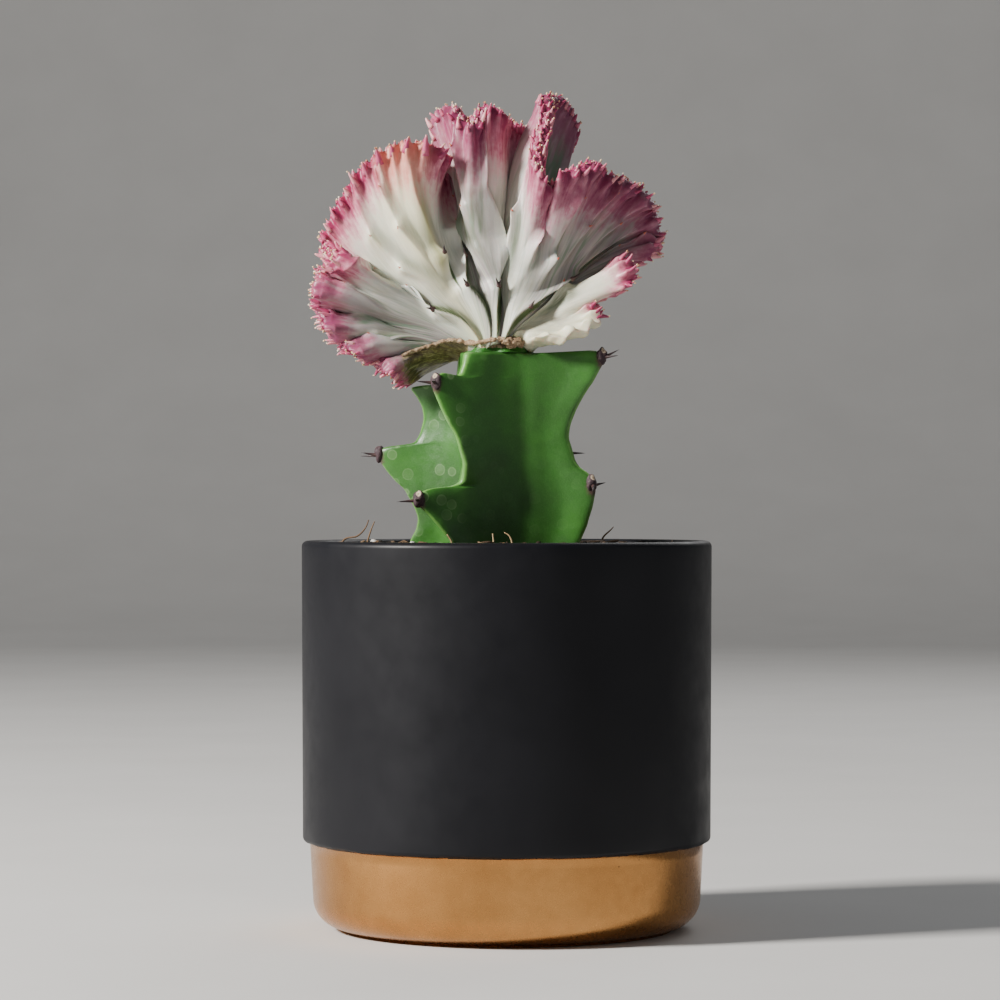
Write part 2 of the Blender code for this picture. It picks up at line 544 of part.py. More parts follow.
def make_soil(group, cutters):
    """Potting mix that fills the pot, with a hole for the stem and root fibres fused in."""
    inner = POT_RADIUS - POT_WALL - GAP
    profile = pot_inner_profile(GAP) + [(inner, SOIL_HEIGHT - 8 * MM)]
    rows = []
    for radius, height in profile[1:] + [(inner, SOIL_HEIGHT)]:
        rows.append([(radius, height)] * SOIL_SIDES)
    for ring in range(1, SOIL_RINGS):
        rows.append([(inner * (1 - ring / SOIL_RINGS), SOIL_HEIGHT)] * SOIL_SIDES)
    places = []
    for number, row in enumerate(rows):
        ring = []
        for k, (radius, height) in enumerate(row):
            angle = 2 * math.pi * k / SOIL_SIDES
            x, y = radius * math.cos(angle), radius * math.sin(angle)
            lift = soil_lumps(x, y) if number >= len(profile) - 1 else 0.0
            ring.append((x, y, height + lift))
        places.append(ring)
    finish = material("potting_mix", (0.05, 0.032, 0.02), 0.95)
    soil = new_object("soil", lofted_mesh("soil", places), group, finish)
    hole_mesh = stem_body("stem_hole", STEM_HOLE_CLEARANCE, SOIL_HEIGHT + 6 * MM)
    hole = bpy.data.objects.new("stem_hole", hole_mesh)
    hole.hide_render = True
    hole.display_type = "WIRE"
    cutters.objects.link(hole)
    cut = soil.modifiers.new("hole", "BOOLEAN")
    cut.operation = "DIFFERENCE"
    cut.object = hole
    apply_modifiers(soil)
    loose = new_collection("root_fibres")
    for route in ROOT_FIBRES:
        add_fibre(loose, route)
    fuse(soil, loose)
    bpy.data.collections.remove(loose)
    return soil


def add_fibre(group, route):
    """A thin bent tube through the route's places."""
    curve = bpy.data.curves.new("fibre", "CURVE")
    curve.dimensions = "3D"
    curve.bevel_depth = ROOT_RADIUS
    curve.bevel_resolution = 1
    curve.use_fill_caps = True
    line = curve.splines.new("POLY")
    line.points.add(len(route) - 1)
    for point, place in zip(line.points, route):
        point.co = (place[0] * MM, place[1] * MM, place[2] * MM, 1.0)
        point.radius = 1.0 if point != line.points[-1] else 0.6
    guide = bpy.data.objects.new("fibre", curve)
    group.objects.link(guide)
    graph = bpy.context.evaluated_depsgraph_get()
    mesh = bpy.data.meshes.new_from_object(guide.evaluated_get(graph))
    weld = bmesh.new()
    weld.from_mesh(mesh)
    bmesh.ops.remove_doubles(weld, verts=weld.verts, dist=0.00001)
    weld.to_mesh(mesh)
    weld.free()
    bpy.data.objects.remove(guide)
    made = bpy.data.objects.new("fibre_solid", mesh)
    group.objects.link(made)


def make_callus(group):
    """The corky seam between stem and crest, a low lumpy disc."""
    low = STEM_TOP + GAP
    rows = []
    shape = ((0.80, 0.0), (1.0, 0.3), (1.0, 0.7), (0.80, 1.0))
    for share, lift in shape:
        ring = []
        for k in range(CALLUS_SIDES):
            angle = 2 * math.pi * k / CALLUS_SIDES
            lump = 1 + 0.06 * math.sin(5 * angle) + 0.05 * math.sin(9 * angle + 1)
            radius = CALLUS_RADIUS * share * lump
            ring.append((STEM_X + CALLUS_BREADTH * radius * math.cos(angle),
                         CALLUS_DEPTH * radius * math.sin(angle) - 0.5 * MM,
                         low + lift * CALLUS_HEIGHT))
        rows.append(ring)
    finish = material("cork", (0.42, 0.30, 0.18), 0.9)
    return new_object("graft_callus", lofted_mesh("graft_callus", rows), group, finish)


def rounded_line(places, steps):
    """A smooth run through the places, with the same number of steps between each two."""
    known = np.array(places, float)
    known = np.vstack([2 * known[0] - known[1], known, 2 * known[-1] - known[-2]])
    share = np.linspace(0, 1, steps, endpoint=False)[:, None]
    runs = []
    for before, start, end, after in zip(known, known[1:], known[2:], known[3:]):
        first = math.sqrt(np.linalg.norm((start - before)[:3]))
        middle = math.sqrt(np.linalg.norm((end - start)[:3]))
        last = math.sqrt(np.linalg.norm((after - end)[:3]))
        leave = ((start - before) / first - (end - before) / (first + middle)
                 + (end - start) / middle) * middle
        arrive = ((end - start) / middle - (after - start) / (middle + last)
                  + (after - end) / last) * middle
        runs.append((2 * share**3 - 3 * share**2 + 1) * start
                    + (share**3 - 2 * share**2 + share) * leave
                    + (3 * share**2 - 2 * share**3) * end + (share**3 - share**2) * arrive)
    return np.vstack(runs + [known[-2:-1]])


def evenly_spaced(line, count):
    """The same line with places at equal distances, and its length."""
    lengths = np.linalg.norm(np.diff(line[:, :3], axis=0), axis=1)
    walked = np.concatenate([[0.0], np.cumsum(lengths)])
    wanted = np.linspace(0, walked[-1], count)
    return np.stack([np.interp(wanted, walked, column) for column in line.T], 1), walked[-1]


def blurred(line, width, ends="odd"):
    """The line with its folds evened out by a Gaussian of a width in steps. Past its ends it
    goes on turned about them if they are odd, mirrored if they are even."""
    if width < 0.3:
        return line
    reach = min(int(3 * width), len(line) - 2) + 1
    weights = np.exp(-0.5 * (np.arange(-reach, reach + 1) / width) ** 2)
    weights /= weights.sum()
    longer = np.pad(line, ((reach, reach), (0, 0)), mode="reflect", reflect_type=ends)
    return np.stack([np.convolve(column, weights, mode="valid") for column in longer.T], 1)


def keyed(keys, value):
    """Read a table of keys at a value."""
    return np.interp(value, [key[0] for key in keys], [key[1] for key in keys])


def crest_sheet():
    """The middle of the crest's sheet as rows of places, from its foot to its growing edge."""
    count = CREST_COLUMNS * CREST_FINE + 1
    edge, length = evenly_spaced(rounded_line(CREST_EDGE, 16) * MM, count)
    share = np.linspace(0, 1, count)
    foot = np.stack([keyed([(key, place[axis]) for key, place in CREST_FOOT], share)
                     for axis in range(3)], 1) * MM
    rows = []
    for reach in CREST_REACHES:
        width = keyed(FOLD_BLUR, reach) * MM * (count - 1) / length
        line = blurred(edge, width)
        row = foot + reach * (line[:, :3] - foot)
        bow = 4 * reach * (1 - reach)
        row[:, 0] += bow * line[:, 3]
        row[:, 2] += bow * line[:, 4]
        rows.append(row[::CREST_FINE])
    return np.array(rows), length


def sheet_normals(sheet):
    """The direction in which the sheet is thickened: square to it, and evened out near the
    graft, where the columns crowd."""
    across = np.gradient(sheet, axis=1)
    outward = np.gradient(sheet, axis=0)
    normals = np.cross(across, outward)
    normals /= np.linalg.norm(normals, axis=2, keepdims=True)
    for row, reach in enumerate(CREST_REACHES):
        normals[row] = blurred(normals[row], keyed(NORMAL_BLUR, reach), "even")
    return normals / np.linalg.norm(normals, axis=2, keepdims=True)


def bend_limits(sheet, normals):
    """The thickness at which the sheet's inside would pleat, from how fast its normals turn."""
    limits = np.full(sheet.shape[:2], FAR)
    for axis in (0, 1):
        step = np.diff(sheet, axis=axis)
        turn = np.diff(normals, axis=axis)
        closing = -np.sum(step * turn, axis=2)
        room = np.sum(step * step, axis=2) / np.maximum(closing, 1e-9)
        room = np.where(closing > 0, room, FAR)
        if axis == 0:
            limits[:-1] = np.minimum(limits[:-1], room)
            limits[1:] = np.minimum(limits[1:], room)
        else:
            limits[:, :-1] = np.minimum(limits[:, :-1], room)
            limits[:, 1:] = np.minimum(limits[:, 1:], room)
    return limits


def clear_depths(sheet, normals):
    """How far each place can see along its normal before another fold."""
    height, width = sheet.shape[:2]
    faces = [(i * width + j, i * width + j + 1, (i + 1) * width + j + 1, (i + 1) * width + j)
             for i in range(height - 1) for j in range(width - 1)]
    tree = BVHTree.FromPolygons(sheet.reshape(-1, 3).tolist(), faces)
    depths = np.full((height, width), FAR)
    for i in range(height):
        for j in range(width):
            look = Vector(normals[i, j])
            start = Vector(sheet[i, j]) + look * 0.2 * MM
            distance = tree.ray_cast(start, look, FAR)[3]
            if distance is not None:
                depths[i, j] = distance
    return depths


def rib_relief(ribs, sheet, length):
    """Height of the ribs over one face of the sheet."""
    width = sheet.shape[1]
    share = np.linspace(0, 1, width)
    stretch = np.linalg.norm(np.gradient(sheet, axis=1), axis=2) * (width - 1)
    relief = np.zeros(sheet.shape[:2])
    for i, reach in enumerate(CREST_REACHES):
        for rib in ribs:
            offset = (share - keyed(rib["line"], reach)) * stretch[i]
            side = np.where(offset < 0, rib["sides"][0], rib["sides"][1]) * MM
            side = side * keyed(((0, 0.35), (0.3, 0.9), (1, 0.8)), reach)
            shape = np.clip(1 - np.abs(offset) / side, 0, 1) ** 1.4
            relief[i] = np.maximum(relief[i], keyed(rib["height"], reach) * MM * shape)
    return relief


def back_ribs():
    """Ribs on the crest's back, spread by a rule with a seeded draw."""
    draw = random.Random(11)
    ribs = []
    for k in range(BACK_RIBS):
        share = (k + 0.5) / BACK_RIBS + draw.uniform(-0.015, 0.015)
        foot = 0.5 + (share - 0.5) * 0.8
        tall = BACK_RIB_HEIGHT * draw.uniform(0.7, 1.0)
        ribs.append({"line": ((0, foot), (0.5, share), (1, share)),
                     "height": ((0, 0.5), (0.34, tall), (0.4, 0.6 * tall), (0.56, tall),
                                (0.62, 0.5 * tall), (0.76, 0.8 * tall), (1, 0.8)),
                     "sides": BACK_RIB_SIDES, "spines": BACK_SPINE_REACHES[k % 2:][:1]})
    return ribs


def add_crest_spines(group, ribs, surface, middle):
    """Short spines on the tubercles of one face."""
    width = surface.shape[1]
    for rib in ribs:
        for reach in rib["spines"]:
            row = int(np.argmin(np.abs(np.array(CREST_REACHES) - reach)))
            column = int(round(keyed(rib["line"], reach) * (width - 1)))
            place = surface[row, column]
            out = place - middle[row, column]
            out /= np.linalg.norm(out)
            along = surface[row + 1, column] - surface[row - 1, column]
            along /= np.linalg.norm(along)
            add_spine(group, Vector(place - out * 0.2 * MM), Vector(out + 0.9 * along),
                      CREST_SPINE_LENGTH, CREST_SPINE_RADIUS, 3)


def make_crest(group, cutters):
    """The folded sheet with ribs on both faces, its toothed edge, its spines and its cut seat."""
    middle, length = crest_sheet()
    normals = sheet_normals(middle)
    reach_left = np.linalg.norm(middle[-1] - middle, axis=2)
    rounding = np.sqrt(np.clip(reach_left / CREST_EDGE_ROUND, 0, 1))
    half = keyed(CREST_HALF, np.array(CREST_REACHES))[:, None] * MM
    end = np.minimum(np.arange(CREST_COLUMNS + 1), np.arange(CREST_COLUMNS, -1, -1))
    half = half * np.interp(end, (0, 1, 3), (0.55, 0.85, 1))[None, :]
    rear_ribs = back_ribs()
    fade = 0.3 + 0.7 * np.clip(reach_left / (3 * MM), 0, 1)
    front_depth = half + rib_relief(FRONT_RIBS, middle, length) * fade
    back_depth = half + rib_relief(rear_ribs, middle, length) * fade
    front_depth = np.minimum(front_depth, SHARE_OF_CLEARANCE * clear_depths(middle, normals))
    back_depth = np.minimum(back_depth, SHARE_OF_CLEARANCE * clear_depths(middle, -normals))
    front_depth = np.minimum(front_depth, SHARE_OF_BEND * bend_limits(middle, normals))
    back_depth = np.minimum(back_depth, SHARE_OF_BEND * bend_limits(middle, -normals))
    depths = [np.maximum(front_depth, LEAST_HALF), np.maximum(back_depth, LEAST_HALF)]
    outward = middle[-1] - middle[-3]
    outward /= np.linalg.norm(outward, axis=1, keepdims=True)
    draw = random.Random(5)
    depths[0][-1] = [draw.uniform(0.6, 1.0) * CREST_TOOTH * (k % 2)
                     for k in range(CREST_COLUMNS + 1)]
    for _ in range(EASE_ROUNDS):
        front = middle + normals * (depths[0] * rounding)[:, :, None]
        back = middle - normals * (depths[1] * rounding)[:, :, None]
        front[-1] += outward * depths[0][-1][:, None]
        back[-1] = front[-1]
        if not ease_crossings(front, back, depths):
            break
    finish = material("crest_tissue", (0.72, 0.55, 0.55), 0.5)
    crest = new_object("crest", sheet_body(front, back), group, finish)
    loose = new_collection("crest_spines")
    add_crest_spines(loose, FRONT_RIBS, front, middle)
    add_crest_spines(loose, rear_ribs, back, middle)
    fuse(crest, loose)
    bpy.data.collections.remove(loose)
    cut_seat(crest, cutters)
    return crest


def ease_crossings(front, back, depths):
    """Thin the sheet a little wherever its faces cross, and say how many crossings there were."""
    body = sheet_body(front, back)
    corners = [tuple(face.vertices) for face in body.polygons]
    tree = BVHTree.FromPolygons([vertex.co for vertex in body.vertices], corners)
    thinner = [np.ones_like(depths[0]), np.ones_like(depths[1])]
    height, width = front.shape[:2]
    count = 0
    for one, other in tree.overlap(tree):
        if set(corners[one]) & set(corners[other]):
            continue
        count += 1
        for index in corners[one] + corners[other]:
            face, place = divmod(index, height * width)
            thinner[face][divmod(place, width)] = EASE_SHARE
    for face in (0, 1):
        depths[face] = np.maximum(depths[face] * thinner[face], LEAST_HALF)
    bpy.data.meshes.remove(body)
    return count


def sheet_body(front, back):
    """A closed mesh from a sheet's two faces, which meet at the growing edge."""
    height, width = front.shape[:2]
    places = np.concatenate([front.reshape(-1, 3), back[:-1].reshape(-1, 3)])
    front_index = np.arange(height * width).reshape(height, width)
    back_index = np.arange(height * width, (2 * height - 1) * width).reshape(height - 1, width)
    back_index = np.concatenate([back_index, front_index[-1:]])
    faces = []
    for i in range(height - 1):
        for j in range(width - 1):
            faces += split_quad(front_index, i, j, False)
            faces += split_quad(back_index, i, j, True)
        for j, turned in ((0, False), (width - 1, True)):
            side = (front_index[i, j], front_index[i + 1, j], back_index[i + 1, j],
                    back_index[i, j])
            side = tuple(dict.fromkeys(side))
            faces.append(side[::-1] if turned else side)
    for j in range(width - 1):
        faces.append((front_index[0, j], back_index[0, j], back_index[0, j + 1],
                      front_index[0, j + 1]))
    mesh = bpy.data.meshes.new("crest")
    mesh.from_pydata(places.tolist(), [], [[int(k) for k in face] for face in faces])
    mesh.update()
    return mesh


def split_quad(index, i, j, turned):
    """Two triangles for one cell, split along the same diagonal on both faces of the sheet."""
    a, b = index[i, j], index[i, j + 1]
    c, d = index[i + 1, j + 1], index[i + 1, j]
    if turned:
        return [(a, c, b), (a, d, c)]
    return [(a, b, c), (a, c, d)]


def cut_seat(crest, cutters):
    """Cut the crest flat over the stem's top, where it was grafted."""
    block = bmesh.new()
    bmesh.ops.create_cone(block, cap_ends=True, segments=SEAT_SIDES, radius1=SEAT_RADIUS,
                          radius2=SEAT_RADIUS, depth=20 * MM)
    bmesh.ops.translate(block, verts=block.verts, vec=(STEM_X, 0, SEAT_HEIGHT - 10 * MM))
    mesh = bpy.data.meshes.new("seat")
    block.to_mesh(mesh)
    block.free()
    seat = bpy.data.objects.new("seat", mesh)
    seat.hide_render = True
    seat.display_type = "WIRE"
    cutters.objects.link(seat)
    cut = crest.modifiers.new("seat", "BOOLEAN")
    cut.operation = "DIFFERENCE"
    cut.object = seat
    apply_modifiers(crest)


def main():
    """Make the five pieces, from the pot up."""
    clear_scene()
    group = new_collection(OBJECT_NAME)
    cutters = new_collection("cutters")
    make_pot(group)
    make_soil(group, cutters)
    make_rootstock(group, material("stem_skin", (0.08, 0.24, 0.05), 0.45))
    make_callus(group)
    make_crest(group, cutters)


main()
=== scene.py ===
"""Potted coral cactus: fine surfaces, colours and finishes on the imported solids, and the studio."""
import cmath
import math
import random

import bmesh
import bpy
import numpy as np
from mathutils import Euler, Matrix, Vector, noise
from mathutils.bvhtree import BVHTree


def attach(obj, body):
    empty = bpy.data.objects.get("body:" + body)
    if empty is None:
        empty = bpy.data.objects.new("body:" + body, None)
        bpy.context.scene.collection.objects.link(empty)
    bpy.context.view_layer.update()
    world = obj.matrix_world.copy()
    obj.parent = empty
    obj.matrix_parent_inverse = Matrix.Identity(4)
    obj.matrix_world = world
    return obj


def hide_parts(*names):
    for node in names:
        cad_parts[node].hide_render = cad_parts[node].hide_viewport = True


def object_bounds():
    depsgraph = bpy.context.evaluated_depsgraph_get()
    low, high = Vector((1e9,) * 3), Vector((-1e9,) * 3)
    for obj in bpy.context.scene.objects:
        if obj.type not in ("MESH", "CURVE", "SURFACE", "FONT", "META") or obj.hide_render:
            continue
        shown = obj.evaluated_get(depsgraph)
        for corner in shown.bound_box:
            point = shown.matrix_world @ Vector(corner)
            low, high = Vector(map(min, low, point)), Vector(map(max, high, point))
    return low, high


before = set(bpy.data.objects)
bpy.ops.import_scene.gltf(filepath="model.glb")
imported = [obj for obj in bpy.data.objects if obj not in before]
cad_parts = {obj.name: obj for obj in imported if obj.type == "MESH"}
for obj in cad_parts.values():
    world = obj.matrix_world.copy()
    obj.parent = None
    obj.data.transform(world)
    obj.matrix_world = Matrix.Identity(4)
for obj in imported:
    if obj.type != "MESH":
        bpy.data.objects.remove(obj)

cad_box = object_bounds()
MM = 0.001

# Camera: level, a little above the pot's rim and 1.12 m in front of it, a shade to its left. Its
# lens takes in the pot's foot and the crest's top with the space that the photograph leaves.
CAMERA_PLACE = (-2.08 * MM, -1122 * MM, 132.6 * MM)
CAMERA_LENS = 130.2


def add_object(name, data, place=(0, 0, 0), turn=(0, 0, 0)):
    """A new object in the scene, placed and turned."""
    made = bpy.data.objects.new(name, data)
    made.location = place
    made.rotation_euler = turn
    bpy.context.scene.collection.objects.link(made)
    return made


view = bpy.data.cameras.new("camera")
view.sensor_width = 36.0
view.lens = CAMERA_LENS
view.clip_end = 20.0
bpy.context.scene.camera = add_object("camera", view, CAMERA_PLACE, (math.pi / 2, 0, 0))


# Pot: one slip-cast ceramic body. A matt black glaze covers it inside and out down to a rolled
# edge, the foot under that is painted copper gold, and it stands on a narrow ring.
POT_HEIGHT = 120.0 * MM
POT_RADIUS = 63.5 * MM
POT_WALL = 5.0 * MM
POT_FLOOR = 8.0 * MM
POT_INNER_FILLET = 8.0 * MM
RIM_ROUND = 1.8 * MM
GLAZE_DRAFT = 0.35 * MM
GLAZE_EDGE_HEIGHT = 27.3 * MM
GLAZE_EDGE_ROUND = 1.4 * MM
GLAZE_EDGE_WAVE = 0.12 * MM
GLAZE_WAVE_REACH = 2 * MM
GLAZE_LIP = 0.4 * MM
FOOT_RADIUS = 60.9 * MM
FOOT_DRAFT = 0.9 * MM
FOOT_ROUND = 9.0 * MM
FOOT_RING_HEIGHT = 0.8 * MM
FOOT_RING_OUTER = 51.6 * MM
FOOT_RING_INNER = 48.0 * MM
FOOT_RING_SLOPE = 1.5 * MM
FOOT_RING_BEVEL = 0.2 * MM
FOOT_RING_EDGE = 0.15 * MM
UNDERSIDE_RECESS = 1.5 * MM
POT_TURN_STEPS = 240
# The waves of the glaze's edge round the pot: each one's share, how many there are and its start.
GLAZE_WAVES = ((1, 7, 1), (0.6, 17, 0), (0.4, 31, 2))


def new_finish(name, values):
    """A material and its Principled shader, with these values on the shader's own sockets."""
    finish = bpy.data.materials.new(name)
    finish.use_nodes = True
    shader = finish.node_tree.nodes["Principled BSDF"]
    for socket, value in values.items():
        shader.inputs[socket].default_value = value
    return finish, shader


def add_node(beside, kind, inputs, **settings):
    """A shader node in the same tree as a node or socket, with its settings. An input is a plain
    value, or a socket to join to it."""
    made = beside.id_data.nodes.new("ShaderNode" + kind)
    for name, value in settings.items():
        setattr(made, name, value)
    for name, value in inputs.items():
        if isinstance(value, bpy.types.NodeSocket):
            made.id_data.links.new(value, made.inputs[name])
        else:
            made.inputs[name].default_value = value
    return made


def place_in(shader, scale=(1, 1, 1), turn=(0, 0, 0)):
    """The place on the piece in millimetres, stretched and turned for a pattern."""
    at = add_node(shader, "TexCoord", {}).outputs["Object"]
    size = tuple(1000 * value for value in scale)
    return add_node(at, "Mapping", {"Vector": at, "Scale": size, "Rotation": turn}).outputs[0]


def cloud(at, scale, detail=3.0, roughness=0.55, warp=0.0):
    """Soft noise with a mean of one half, at so many cells a millimetre."""
    return add_node(at, "TexNoise", {"Vector": at, "Scale": scale, "Detail": detail,
                                     "Roughness": roughness, "Distortion": warp}).outputs[0]


def ramp(factor, *stops):
    """Colours or greys along a factor, each stop a position and a colour."""
    made = add_node(factor, "ValToRGB", {0: factor})
    elements = made.color_ramp.elements
    while len(elements) < len(stops):
        elements.new(0.5)
    for element, (position, colour) in zip(elements, stops):
        element.position = position
        element.color = (*colour, 1.0) if isinstance(colour, tuple) else (colour, colour, colour, 1.0)
    return made.outputs[0]


def mixed(factor, first, second, blend="MIX"):
    """Two colours mixed by a factor."""
    first, second = [(*colour, 1.0) if isinstance(colour, tuple) else colour
                     for colour in (first, second)]
    return add_node(factor if isinstance(first, tuple) else first, "Mix",
                    {0: factor, 6: first, 7: second}, data_type="RGBA", blend_type=blend).outputs[2]


def sums(operation, *values, clamp=False):
    """A Math node's result. The first of its values is a socket."""
    return add_node(values[0], "Math", dict(enumerate(values)), operation=operation,
                    use_clamp=clamp).outputs[0]


def paint(shader, colour, roughness=None, height=None, distance=0.0, strength=1.0, coat=None):
    """Join patterns to a shader: its colour, its roughness, a height that raises the surface to a
    distance in millimetres, and how much of a clear coat it has."""
    patterns = {"Base Color": colour, "Roughness": roughness, "Coat Weight": coat}
    if height is not None:
        patterns["Normal"] = add_node(shader, "Bump", {"Height": height, "Distance": distance * MM,
                                                       "Strength": strength}).outputs[0]
    for name, pattern in patterns.items():
        if pattern is not None:
            shader.id_data.links.new(pattern, shader.inputs[name])


def smooth_mesh(name, shape, finishes=()):
    """A smooth mesh with its finishes, made from a bmesh."""
    mesh = bpy.data.meshes.new(name)
    shape.to_mesh(mesh)
    shape.free()
    mesh.shade_smooth()
    for finish in finishes:
        mesh.materials.append(finish)
    return mesh


def finish_piece(name, shape, finishes, replaced=None):
    """Turn a bmesh into a smooth piece with its finishes, which rides on the part's one body."""
    piece = add_object(name, smooth_mesh(name, shape, finishes))
    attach(piece, "root")
    if replaced:
        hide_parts(replaced)
    return piece


def arc(centre, radius, start, end, steps):
    """Places on a circle in a turned profile's plane, angles in degrees."""
    angles = np.radians(np.linspace(start, end, steps + 1))
    return [(centre[0] + radius * math.cos(angle), centre[1] + radius * math.sin(angle))
            for angle in angles]


def straight(start, end, steps):
    """Places between two ends of a profile, without the ends themselves."""
    return [tuple(place) for place in np.linspace(start, end, steps + 1)[1:-1]]


def turned(profile, steps):
    """A closed shape from a profile that starts and ends on the Z axis."""
    shape = bmesh.new()
    line = [shape.verts.new((x, 0, z)) for x, z in profile]
    edges = [shape.edges.new(pair) for pair in zip(line, line[1:])]
    bmesh.ops.spin(shape, geom=line + edges, cent=(0, 0, 0), axis=(0, 0, 1),
                   angle=2 * math.pi, steps=steps, use_merge=True)
    bmesh.ops.remove_doubles(shape, verts=shape.verts, dist=0.001 * MM)
    bmesh.ops.recalc_face_normals(shape, faces=shape.faces)
    return shape


def waves_at(turn, waves):
    """The sum of waves round a ring, at a turn about it: each a size, a number and a start."""
    return sum(size * np.sin(count * turn + start) for size, count, start in waves)


def pot_inner_profile(offset):
    """The pot's inside from its floor's centre up to its wall, drawn in by an offset."""
    inner = POT_RADIUS - POT_WALL
    centre = (inner - POT_INNER_FILLET, POT_FLOOR + POT_INNER_FILLET)
    return [(0.0, POT_FLOOR + offset)] + arc(centre, POT_INNER_FILLET - offset, -90, 0, 8)


pot_inner = POT_RADIUS - POT_WALL
glaze_foot = POT_RADIUS - GLAZE_DRAFT
rim_top = POT_HEIGHT - RIM_ROUND
foot_side = FOOT_RADIUS - FOOT_DRAFT
pot_profile = [(0.0, UNDERSIDE_RECESS), (FOOT_RING_INNER - FOOT_RING_SLOPE, UNDERSIDE_RECESS)]
pot_profile += [(FOOT_RING_INNER, FOOT_RING_EDGE), (FOOT_RING_INNER + FOOT_RING_BEVEL, 0.0)]
pot_profile += [(FOOT_RING_OUTER - FOOT_RING_BEVEL, 0.0), (FOOT_RING_OUTER, FOOT_RING_EDGE)]
pot_profile += arc((foot_side - FOOT_ROUND, FOOT_RING_HEIGHT + FOOT_ROUND), FOOT_ROUND, -86, 0, 14)
foot_top = (FOOT_RADIUS, GLAZE_EDGE_HEIGHT - GLAZE_LIP)
pot_profile += straight(pot_profile[-1], foot_top, 6) + [foot_top]
pot_profile += arc((glaze_foot - GLAZE_EDGE_ROUND, GLAZE_EDGE_HEIGHT + GLAZE_EDGE_ROUND),
                   GLAZE_EDGE_ROUND, -90, 0, 8)
pot_profile += straight(pot_profile[-1], (POT_RADIUS, rim_top), 24)
pot_profile += arc((POT_RADIUS - RIM_ROUND, rim_top), RIM_ROUND, 0, 90, 8)
pot_profile += arc((pot_inner + RIM_ROUND, rim_top), RIM_ROUND, 90, 180, 8)
pot_profile += straight(pot_profile[-1], (pot_inner, POT_FLOOR + POT_INNER_FILLET), 16)
pot_profile += pot_inner_profile(0.0)[::-1]
pot_shape = turned(pot_profile, POT_TURN_STEPS)
for vertex in pot_shape.verts:
    radius = math.hypot(vertex.co.x, vertex.co.y)
    angle = math.atan2(vertex.co.y, vertex.co.x)
    near = max(0.0, 1 - abs(vertex.co.z - GLAZE_EDGE_HEIGHT) / GLAZE_WAVE_REACH)
    if radius > FOOT_RADIUS - GLAZE_WAVE_REACH:
        vertex.co.z += GLAZE_EDGE_WAVE * waves_at(angle, GLAZE_WAVES) * near
for face in pot_shape.faces:
    middle = face.calc_center_median()
    outside = math.hypot(middle.x, middle.y) > FOOT_RING_OUTER - 0.1 * MM
    face.material_index = int(outside and middle.z < GLAZE_EDGE_HEIGHT - 0.15 * MM)

black_glaze, shader = new_finish("black_glaze", {"Specular IOR Level": 0.2, "Coat Roughness": 0.3})
at = place_in(shader)
paint(shader, ramp(cloud(at, 0.03, 4), (0.3, (0.0040, 0.0042, 0.0060)),
                   (0.7, (0.0066, 0.0068, 0.0092))),
      ramp(cloud(at, 0.12, 5), (0.3, 0.40), (0.7, 0.52)),
      sums("MULTIPLY_ADD", cloud(at, 0.5, 3), 0.8, cloud(at, 3.5, 2)), 0.02, 0.6,
      coat=ramp(cloud(at, 0.02, 2), (0.35, 0.0), (0.7, 0.08)))

gold_foot, shader = new_finish("gold_foot", {"Metallic": 1.0})
at = place_in(shader)
gold = ramp(cloud(at, 0.05, 5, 0.6), (0.3, (0.43, 0.200, 0.062)), (0.7, (0.56, 0.280, 0.095)))
cells = add_node(at, "TexVoronoi", {"Vector": at, "Scale": 0.28, "Randomness": 1.0})
pits = sums("MULTIPLY", sums("LESS_THAN", cells.outputs["Distance"], 0.07),
            sums("GREATER_THAN", cloud(at, 0.09, 1), 0.60))
paint(shader, mixed(pits, gold, (0.10, 0.055, 0.03)),
      ramp(cloud(at, 0.35, 6, 0.7), (0.3, 0.22), (0.75, 0.34)),
      sums("SUBTRACT", cloud(at, 2.2, 3), pits), 0.012, 0.7)
finish_piece("pot_body", pot_shape, [black_glaze, gold_foot], "pot")


# Crest: the scion, one folded sheet of water-filled tissue that grows along its whole outer edge.
# It is white with grey-green grooves, greyed and darkened further by painted shade, and pink to crimson
# at its edge, where each rib ends in a small finger. Its ribs are drawn down to the graft, and their low
# bosses have dark spines.
CREST_COLUMNS = 1152
CREST_REACHES = np.concatenate([np.linspace(0, 0.5, 24), np.linspace(0.52, 0.86, 22),
                                np.linspace(0.872, 0.96, 12), np.linspace(0.967, 1.0, 8)])
# The room for its thickness is worked out on every sixth column and at these reaches only.
COARSE_STEP = 6
COARSE_REACHES = (0, 0.15, 0.30, 0.45, 0.60, 0.74, 0.855, 0.94, 1.0)
# Where the sheet stands on the graft by the share of its edge, and half its thickness by reach, in
# mm; then how far its normals are evened out by reach, in coarse columns.
CREST_FOOT = (
    (0, (-10.2, 1.2, 178.8)), (0.1, (-8.6, -0.3, 180.4)), (0.3, (-5.6, -2.8, 180.4)),
    (0.5, (-2.6, -4.0, 180.4)), (0.7, (0.3, -4.3, 180.4)), (0.88, (3.4, -4.1, 180.4)),
    (0.95, (4.4, -4.8, 180.4)), (1, (4.2, -6.4, 180.4)),
)
CREST_HALF = ((0, 6.0), (0.15, 4.6), (0.3, 3.2), (0.6, 2.1), (0.85, 1.6), (1, 1.2))
NORMAL_BLUR = ((0, 30), (0.15, 16), (0.3, 6), (0.45, 2.5), (0.74, 1), (1, 0.5))
CREST_EDGE_ROUND = 2.0 * MM
END_COLUMNS = 18.0
LEAST_HALF = 0.32 * MM
MOST_HALF = 9 * MM
ROOM_BLUR = 2.5
LEAST_RELIEF = 0.5
# The ribs are lower next to the edge: the share that is left there, and over what distance.
EDGE_RELIEF = 0.3
EDGE_RELIEF_RUN = 3 * MM
